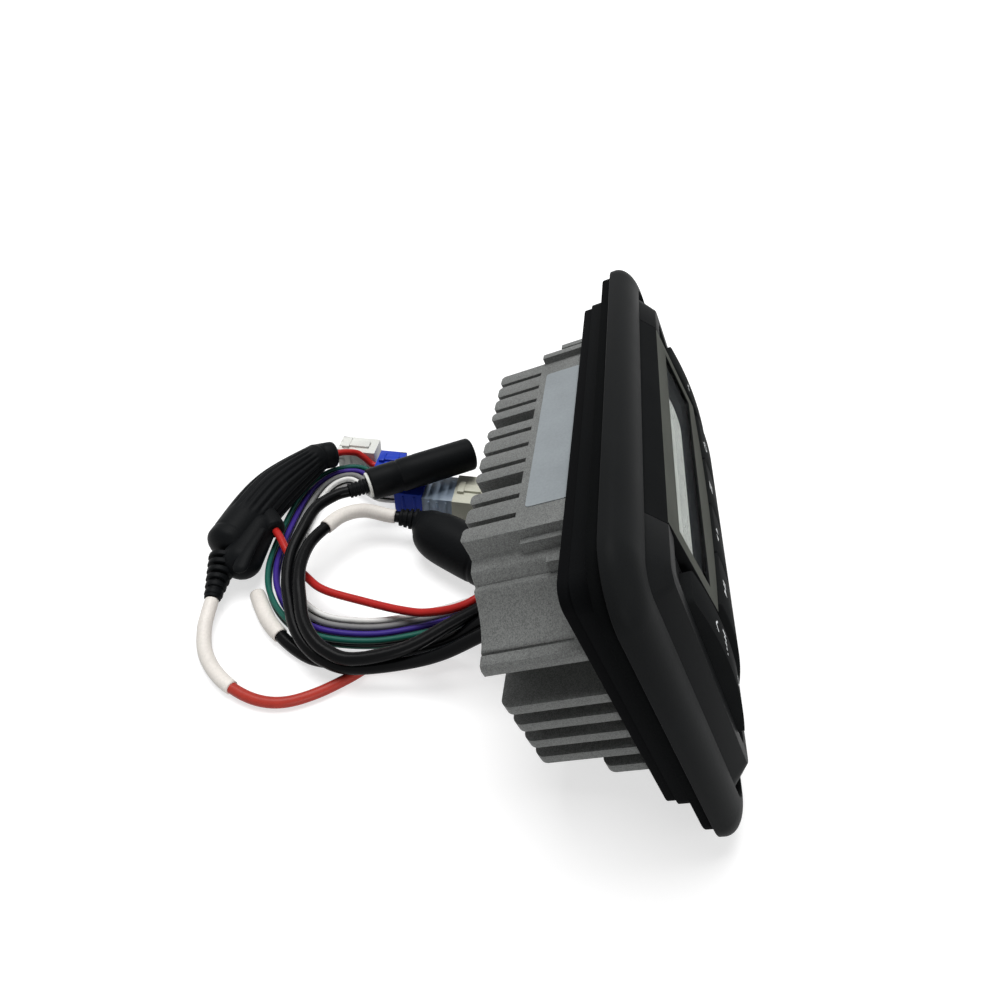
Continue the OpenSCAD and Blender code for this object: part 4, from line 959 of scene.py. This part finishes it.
def shell_of(node, boxes, coat):
    bm = bmesh.new()
    for corner, size in boxes:
        middle = Vector([c + d / 2 for c, d in zip(corner, size)]) * MM
        place = Matrix.Translation(middle) @ Matrix.Diagonal((*(d * MM for d in size), 1))
        bmesh.ops.create_cube(bm, size=1, matrix=place)
    bmesh.ops.bevel(bm, geom=bm.edges[:], offset=SHELL_EDGE * MM, segments=2, profile=0.5, affect="EDGES",
                    clamp_overlap=True)
    for face in bm.faces:
        face.smooth = True
    print(node, len(boxes), "boxes")
    return show(mesh_of(node + "_shell", bm, sharp=SMOOTH_TO), coat, [node])


BLUE_BOX = ((45, 76, 0), (15, 12, 11))
CLEAR_BOX = ((44.5, 63, 0), (16, 13, 10))
CREAM_BOX = ((43, 49, 0), (18, 14, 11))
WHITE_BOX = ((72.4, 104, 0), (11, 17.5, 9.5))
ADAPTER_BOX = ((63.5, 89.5, 0), (12, 12, 9.5))
blue = shell_of("blue_connector", [BLUE_BOX] + latch(*BLUE_BOX) + side_ribs(*BLUE_BOX, 2), "blue_plastic")
clear = shell_of("clear_connector", [CLEAR_BOX] + side_ribs(*CLEAR_BOX, 3), "clear_plastic")
cream = shell_of("cream_connector", cells(*CREAM_BOX, 4, 2) + latch(*CREAM_BOX), "cream_plastic")
white_boxes = cells(*WHITE_BOX, 3, 2, mouth=1) + latch(*WHITE_BOX) + side_ribs(*WHITE_BOX, 2)
white = shell_of("white_connector", white_boxes, "white_plastic")
adapter = shell_of("blue_adapter", cells(*ADAPTER_BOX, 2, 1) + latch(*ADAPTER_BOX, 3.5), "blue_plastic")

# %% [markdown]
# ## The trim ring
# The ring round the face is a quarter-round moulding. Its profile is a list of steps in from the edge and
# heights, swept round the rounded rectangle ring by ring, with many sections in each corner.

# %% Sweep the trim ring
CORNER_STEPS = 20
TRIM_WALL, FLANGE_T, TRIM_SHARP = 1.6, 2.5, 35
LIP_DROP, LIP_FLAT, FOOT_EDGE = 0.5, 0.35, 0.12
BAND_STEPS, INNER_STEPS = 18, 6


def trim_profile():
    outer = [on_band(math.pi / 2 * k / BAND_STEPS) for k in range(BAND_STEPS + 1)]
    inner_band = TRIM_BAND - TRIM_WALL
    inner = [(TRIM_WALL + (inner_band - TRIM_WALL) * (1 - math.cos(a)),
              TRIM_RIM + (TRIM_FRONT - TRIM_RIM - TRIM_WALL) * math.sin(a))
             for a in (math.pi / 2 * k / INNER_STEPS for k in range(INNER_STEPS, -1, -1))]
    lip = [(TRIM_BAND, TRIM_FRONT - LIP_DROP), (TRIM_BAND, FLANGE_T), (inner_band, FLANGE_T)]
    outer[-1] = (TRIM_BAND - LIP_FLAT, TRIM_FRONT)
    return [(FOOT_EDGE, 0), (0, FOOT_EDGE)] + outer + lip + inner + [(TRIM_WALL, 0)]


def round_corners(w, h, r, steps):
    """Points of a rectangle with round corners, about its middle."""
    found = []
    for quarter, (sx, sy) in enumerate(((1, 1), (-1, 1), (-1, -1), (1, -1))):
        for a in (math.pi / 2 * (quarter + k / steps) for k in range(steps + 1)):
            found.append((sx * (w / 2 - r) + r * math.cos(a), sy * (h / 2 - r) + r * math.sin(a)))
    return found


def trim_ring(inset, height):
    corners = round_corners(TRIM_W - 2 * inset, TRIM_H - 2 * inset, TRIM_R - inset, CORNER_STEPS)
    return [on_panel(x, y, height) for x, y in corners]


bm = bmesh.new()
skin(bm, [trim_ring(inset, height) for inset, height in trim_profile()], loop=True)
trim = show(mesh_of("trim_ring_swept", bm, sharp=TRIM_SHARP), "trim_plastic", ["trim_ring"])
print("trim:", len(trim.data.polygons), "faces")

# %% [markdown]
# ## Marks on the keys
# The print on the keys is a thin coat of ink. Each mark is a few short strokes, drawn in millimetres round
# its own middle and laid on the key's crown, whose height is a circle's. The strokes are thin closed slabs
# that ride on their key, so they move when it is pressed.

# %% Print the marks
BUTTON_CROWN, ROW_CROWN_R, ROW_CROWN_Y, ROW_PITCH = 16.6, 90, -6, 22.6
ROCKER_CROWN, ROCKER_CROWN_R, ROCKER_Y, ROCKER_X = 15.6, 140, -2, 56.3
INK, PEN, ARC_PARTS = 0.03, 0.5, 20


def stroke(ax, ay, bx, by, width=PEN):
    """A straight stroke as a four-sided outline."""
    along = Vector((bx - ax, by - ay)).normalized() * width / 2
    across = Vector((-along.y, along.x))
    a, b = Vector((ax, ay)), Vector((bx, by))
    return [a + across, a - across, b - across, b + across]


def arc(r, start, end):
    """An arc of short strokes, between two angles in degrees."""
    found = []
    for k in range(ARC_PARTS):
        a, b = (math.radians(start + (end - start) * (k + m) / ARC_PARTS) for m in (0, 1))
        outer, inner = r + PEN / 2, r - PEN / 2
        found.append([Vector((q * math.cos(t), q * math.sin(t)))
                      for t, q in ((a, outer), (a, inner), (b, inner), (b, outer))])
    return found


def solid_triangle(cx, cy, size, toward):
    return [Vector((cx, cy)) + size * Vector((math.cos(a), math.sin(a)))
            for a in (math.radians(toward + 120 * k) for k in range(3))]


def print_mark(name, key, outlines, x, y, crown, radius, middle):
    def on_crown(u, v, lift):
        return on_panel(u, v, crown - radius + math.sqrt(radius ** 2 - (v - middle) ** 2) + lift)

    bm = bmesh.new()
    for outline in outlines:
        skin(bm, [[on_crown(x + p.x, y + p.y, lift) for p in outline] for lift in (-INK, INK)], smooth=False)
    show(mesh_of(name, bm), "print", body=key)


LOUDNESS_BARS = [stroke(1.4 * k, -1.5, 1.4 * k, 0.1 + 0.65 * k, 0.65) for k in range(-2, 3)]
UP_CHEVRON = [stroke(-1.6, -0.8, 0, 0.8), stroke(0, 0.8, 1.6, -0.8)]
DOWN_CHEVRON = [stroke(-1.6, 0.8, 0, -0.8), stroke(0, -0.8, 1.6, 0.8)]
POWER_SIGN = arc(1.7, 120, 420) + [stroke(0, 0.4, 0, 2.3)]
MENU_SIGN = [stroke(-1.8, v, 1.8, v) for v in (-1.2, 0, 1.2)]
BAND_SIGN = [solid_triangle(-1.7, 0, 1.3, 180), solid_triangle(1.7, 0, 1.3, 0)]
SOURCE_SIGN = [solid_triangle(-1.3, 0, 1.5, 0)] + [stroke(v, 1.2, v, -1.2, 0.7) for v in (1.0, 2.3)]
MARK_Y = -2
for order, (key, sign) in enumerate(zip(BUTTONS, (SOURCE_SIGN, BAND_SIGN, MENU_SIGN, POWER_SIGN))):
    print_mark(key + "_mark", key, sign, (order - 1.5) * ROW_PITCH, MARK_Y,
               BUTTON_CROWN, ROW_CROWN_R, ROW_CROWN_Y)
ROCKER_MARKS = {"volume_bars": (LOUDNESS_BARS, 3), "volume_up": (UP_CHEVRON, 10),
                "volume_down": (DOWN_CHEVRON, -14), "track_up": (UP_CHEVRON, 10),
                "track_down": (DOWN_CHEVRON, -14)}
for label, (sign, y) in ROCKER_MARKS.items():
    key = label.split("_")[0] + "_rocker"
    x = -ROCKER_X if key == "volume_rocker" else ROCKER_X
    print_mark(label, key, sign, x, y, ROCKER_CROWN, ROCKER_CROWN_R, ROCKER_Y)
print("marks:", len(BUTTONS) + len(ROCKER_MARKS))

# %% [markdown]
# ## Screws and the label
# Four screws with a cross recess hold the chassis to the flange. They are alike and sit on the corners of a
# rectangle, so a tree makes one and sets it on the four points of a grid. The cross is cut out of the head
# by two thin blocks, as the punch that forms the head does it. The bare label is a film with round corners.

# %% A tree for screws
HEAD_SIDES, SHANK_SIDES, CROSS_REACH = 32, 20, 1.25


def screw_tree():
    labels = ("Across", "Up", "Head radius", "Head height", "Shank radius", "Shank", "Cross", "Depth")
    tree, ins, outs = new_tree("corner_screws", dict.fromkeys(labels, "Float"))
    height, cross = ins["Head height"], ins["Cross"]
    head = rod(tree, ins["Head radius"], height, -0.5, HEAD_SIDES)
    shank = rod(tree, ins["Shank radius"], ins["Shank"], 0.5, SHANK_SIDES)
    arm = maths(tree, "MULTIPLY", ins["Head radius"], CROSS_REACH)
    recess = add_node(tree, "GeometryNodeMeshBoolean", {0: head}, operation="DIFFERENCE")
    for across, up in ((arm, cross), (cross, arm)):
        size = vector(tree, X=across, Y=up, Z=maths(tree, "MULTIPLY", ins["Depth"], 2.0))
        block = moved(tree, result(tree, "GeometryNodeMeshCube", {"Size": size}),
                      maths(tree, "MULTIPLY", height, -1.0))
        tree.links.new(block, recess.inputs[1])
    corners = result(tree, "GeometryNodeMeshGrid", {
        "Size X": ins["Across"], "Size Y": ins["Up"], "Vertices X": 2, "Vertices Y": 2})
    screw = joined(tree, recess.outputs[0], shank)
    placed = result(tree, "GeometryNodeInstanceOnPoints", {"Points": corners, "Instance": screw})
    return end_tree(tree, ins, outs, placed)


# %% Set the screws and lay the label
BOSS_X, BOSS_Y, BODY_FRONT = 63.5, 37.5, 13
SCREW = {"Across": 2 * BOSS_X, "Up": 2 * BOSS_Y, "Head radius": 2.8, "Head height": 2, "Shank radius": 1.35,
         "Shank": 9, "Cross": 0.7, "Depth": 1.1}
screw_mesh = grow("chassis_screws_cross", screw_tree(), {
    **{label: size * MM for label, size in SCREW.items()}, "Rotation": (math.pi / 2 - LEAN, 0, 0),
    "Place": tuple(on_panel(0, 0, -BODY_FRONT)), "Material": FINISH["steel"]})
show(soften_mesh(screw_mesh, 0), "steel", ["chassis_screws"])
print("screws:", len(screw_mesh.polygons), "faces")

LABEL_W, LABEL_L, LABEL_R, LABEL_T, LABEL_STEPS = 69, 12, 1.2, 0.2, 8
LABEL_GAP = 0.6
LABEL_MIDDLE = -BODY_FRONT - LABEL_GAP - LABEL_L / 2
outline = round_corners(LABEL_W, LABEL_L, LABEL_R, LABEL_STEPS)
bm = bmesh.new()
skin(bm, [[on_panel(u, CHASSIS_TOP + lift, LABEL_MIDDLE + v) for u, v in outline] for lift in (0, LABEL_T)],
     smooth=False)
show(mesh_of("blank_label_film", bm), "label_film", ["blank_label"])
print("label:", LABEL_W, "x", LABEL_L, "mm")

# %% [markdown]
# ## Solids that keep their shape
# The rest is right as drawn and only needs its finish.

# %% Finish the other solids
PLAIN = {
    "housing_plastic": ("front_housing",), "lens_clear": ("display_lens",), "lcd": ("lcd_glass",),
    "light_guide": ("lcd_backlight",), "black_plastic": ("front_board", "tact_switches", "amplifier_chip"),
    "cream_plastic": ("front_socket", "main_socket", "loom_header"), "ribbon": ("ribbon_cable",),
    "circuit_board": ("main_board",), "steel": ("board_screws", "chip_clamp", "tuner_can"),
    "capacitor_sleeve": ("filter_capacitors",),
}
for coat, nodes in PLAIN.items():
    for node in nodes:
        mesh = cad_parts[node].data
        mesh.materials.clear()
        mesh.materials.append(FINISH[coat])
print("plain solids:", sum(map(len, PLAIN.values())))

# %% [markdown]
# ## Which cable is which
# Each cable is listed with what is on its far end and the pieces that go with it.
# The supply lead is drawn from its fuse holder.

def cable(name, far_end, with_pieces=(), flip=False, stiffness="medium"):
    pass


cable("aerial_cable", "connector", [aerial_socket, aerial_ring, aerial_relief])
cable("remote_cable", "plug", [remote_plug, plug_relief, remote_sleeve])
cable("aux_cable", "bare", [aux_sleeve])
cable("power_wire", "object", stiffness="limp")
fuse_parts = [fuse_holder, fuse_shell, fuse_clip, fuse_lobe, fuse_relief]
cable("supply_lead", "fitting", [supply_sleeve] + fuse_parts, flip=True)
cable("fuse_tail", "connector", [fuse_boot, adapter, white], stiffness="limp")
for wire in LANES:
    cable(wire, "connector", [blue, clear, cream] if wire == "wire_white" else [blue], stiffness="limp")
print("cords:", len(cables))

# %% [markdown]
# ## Floor and light
# The photograph has a plain white ground and soft light from large sources. The floor is pale and keeps the
# shadow; a little of its own glow, seen by the camera and in reflections, brings it to white.

# %% Stage
def in_sight(tree):
    """1 for what the camera sees, also in a reflection or through glass, and 0 for light on the object."""
    ray = add_node(tree, "ShaderNodeLightPath").outputs
    bent = maths(tree, "MAXIMUM", ray["Is Glossy Ray"], ray["Is Transmission Ray"])
    return maths(tree, "MAXIMUM", ray["Is Camera Ray"], bent)


FLOOR_SIZE, FLOOR_DROP = 6.0, 0.0002
FLOOR_GLOW, GLOW_FROM, GLOW_TO = 0.64, 0.2, 0.6
SKY_LIGHT = 0.12
WHITE = (1, 1, 1, 1)

floor_mesh = bpy.data.meshes.new("floor")
corners = ((-1, -1), (1, -1), (1, 1), (-1, 1))
floor_mesh.from_pydata([(x * FLOOR_SIZE, y * FLOOR_SIZE, -FLOOR_DROP) for x, y in corners], [],
                       [(0, 1, 2, 3)])
floor = bpy.data.objects.new("floor", floor_mesh)
bpy.context.scene.collection.objects.link(floor)
floor_material, tree, shader = new_material("floor")
away = add_node(tree, "ShaderNodeVectorMath", {0: object_place(tree)}, operation="LENGTH").outputs["Value"]
glow = result(tree, "ShaderNodeMapRange", {
    "Value": away, "From Min": GLOW_FROM, "From Max": GLOW_TO, "To Min": FLOOR_GLOW, "To Max": 1.0})
feed(tree, shader, {"Base Color": GREY, "Roughness": 0.9, "Emission Color": WHITE,
                    "Emission Strength": maths(tree, "MULTIPLY", in_sight(tree), glow)})
floor_mesh.materials.append(floor_material)

world = bpy.data.worlds.new("studio")
bpy.context.scene.world = world
world.use_nodes = True
tree = world.node_tree
feed(tree, tree.nodes["Background"].inputs, {
    "Color": WHITE, "Strength": spread_value(tree, in_sight(tree), SKY_LIGHT, 1.0)})
print("floor glow:", FLOOR_GLOW, "near the stereo, 1 from", GLOW_TO, "m")


# %% Lamps
def soft_box(name, place, aim, size, power):
    data = bpy.data.lights.new(name, "AREA")
    data.shape = "RECTANGLE"
    data.size, data.size_y = size
    data.energy = power
    lamp = bpy.data.objects.new(name, data)
    bpy.context.scene.collection.objects.link(lamp)
    lamp.location = place
    lamp.rotation_euler = (Vector(aim) - Vector(place)).to_track_quat("-Z", "Y").to_euler()


soft_box("overhead", (0.3, 0.2, 1.25), (0, 0.05, 0.03), (0.9, 0.8), 18)
soft_box("left_side", (-1.1, -0.5, 0.22), (-0.05, 0, 0.03), (0.7, 0.4), 5)
soft_box("front", (-0.4, -1.2, 0.6), (0, 0, 0.05), (1.0, 0.8), 4)
print("lamps:", len(bpy.data.lights))

# %% End
bpy.context.view_layer.update()
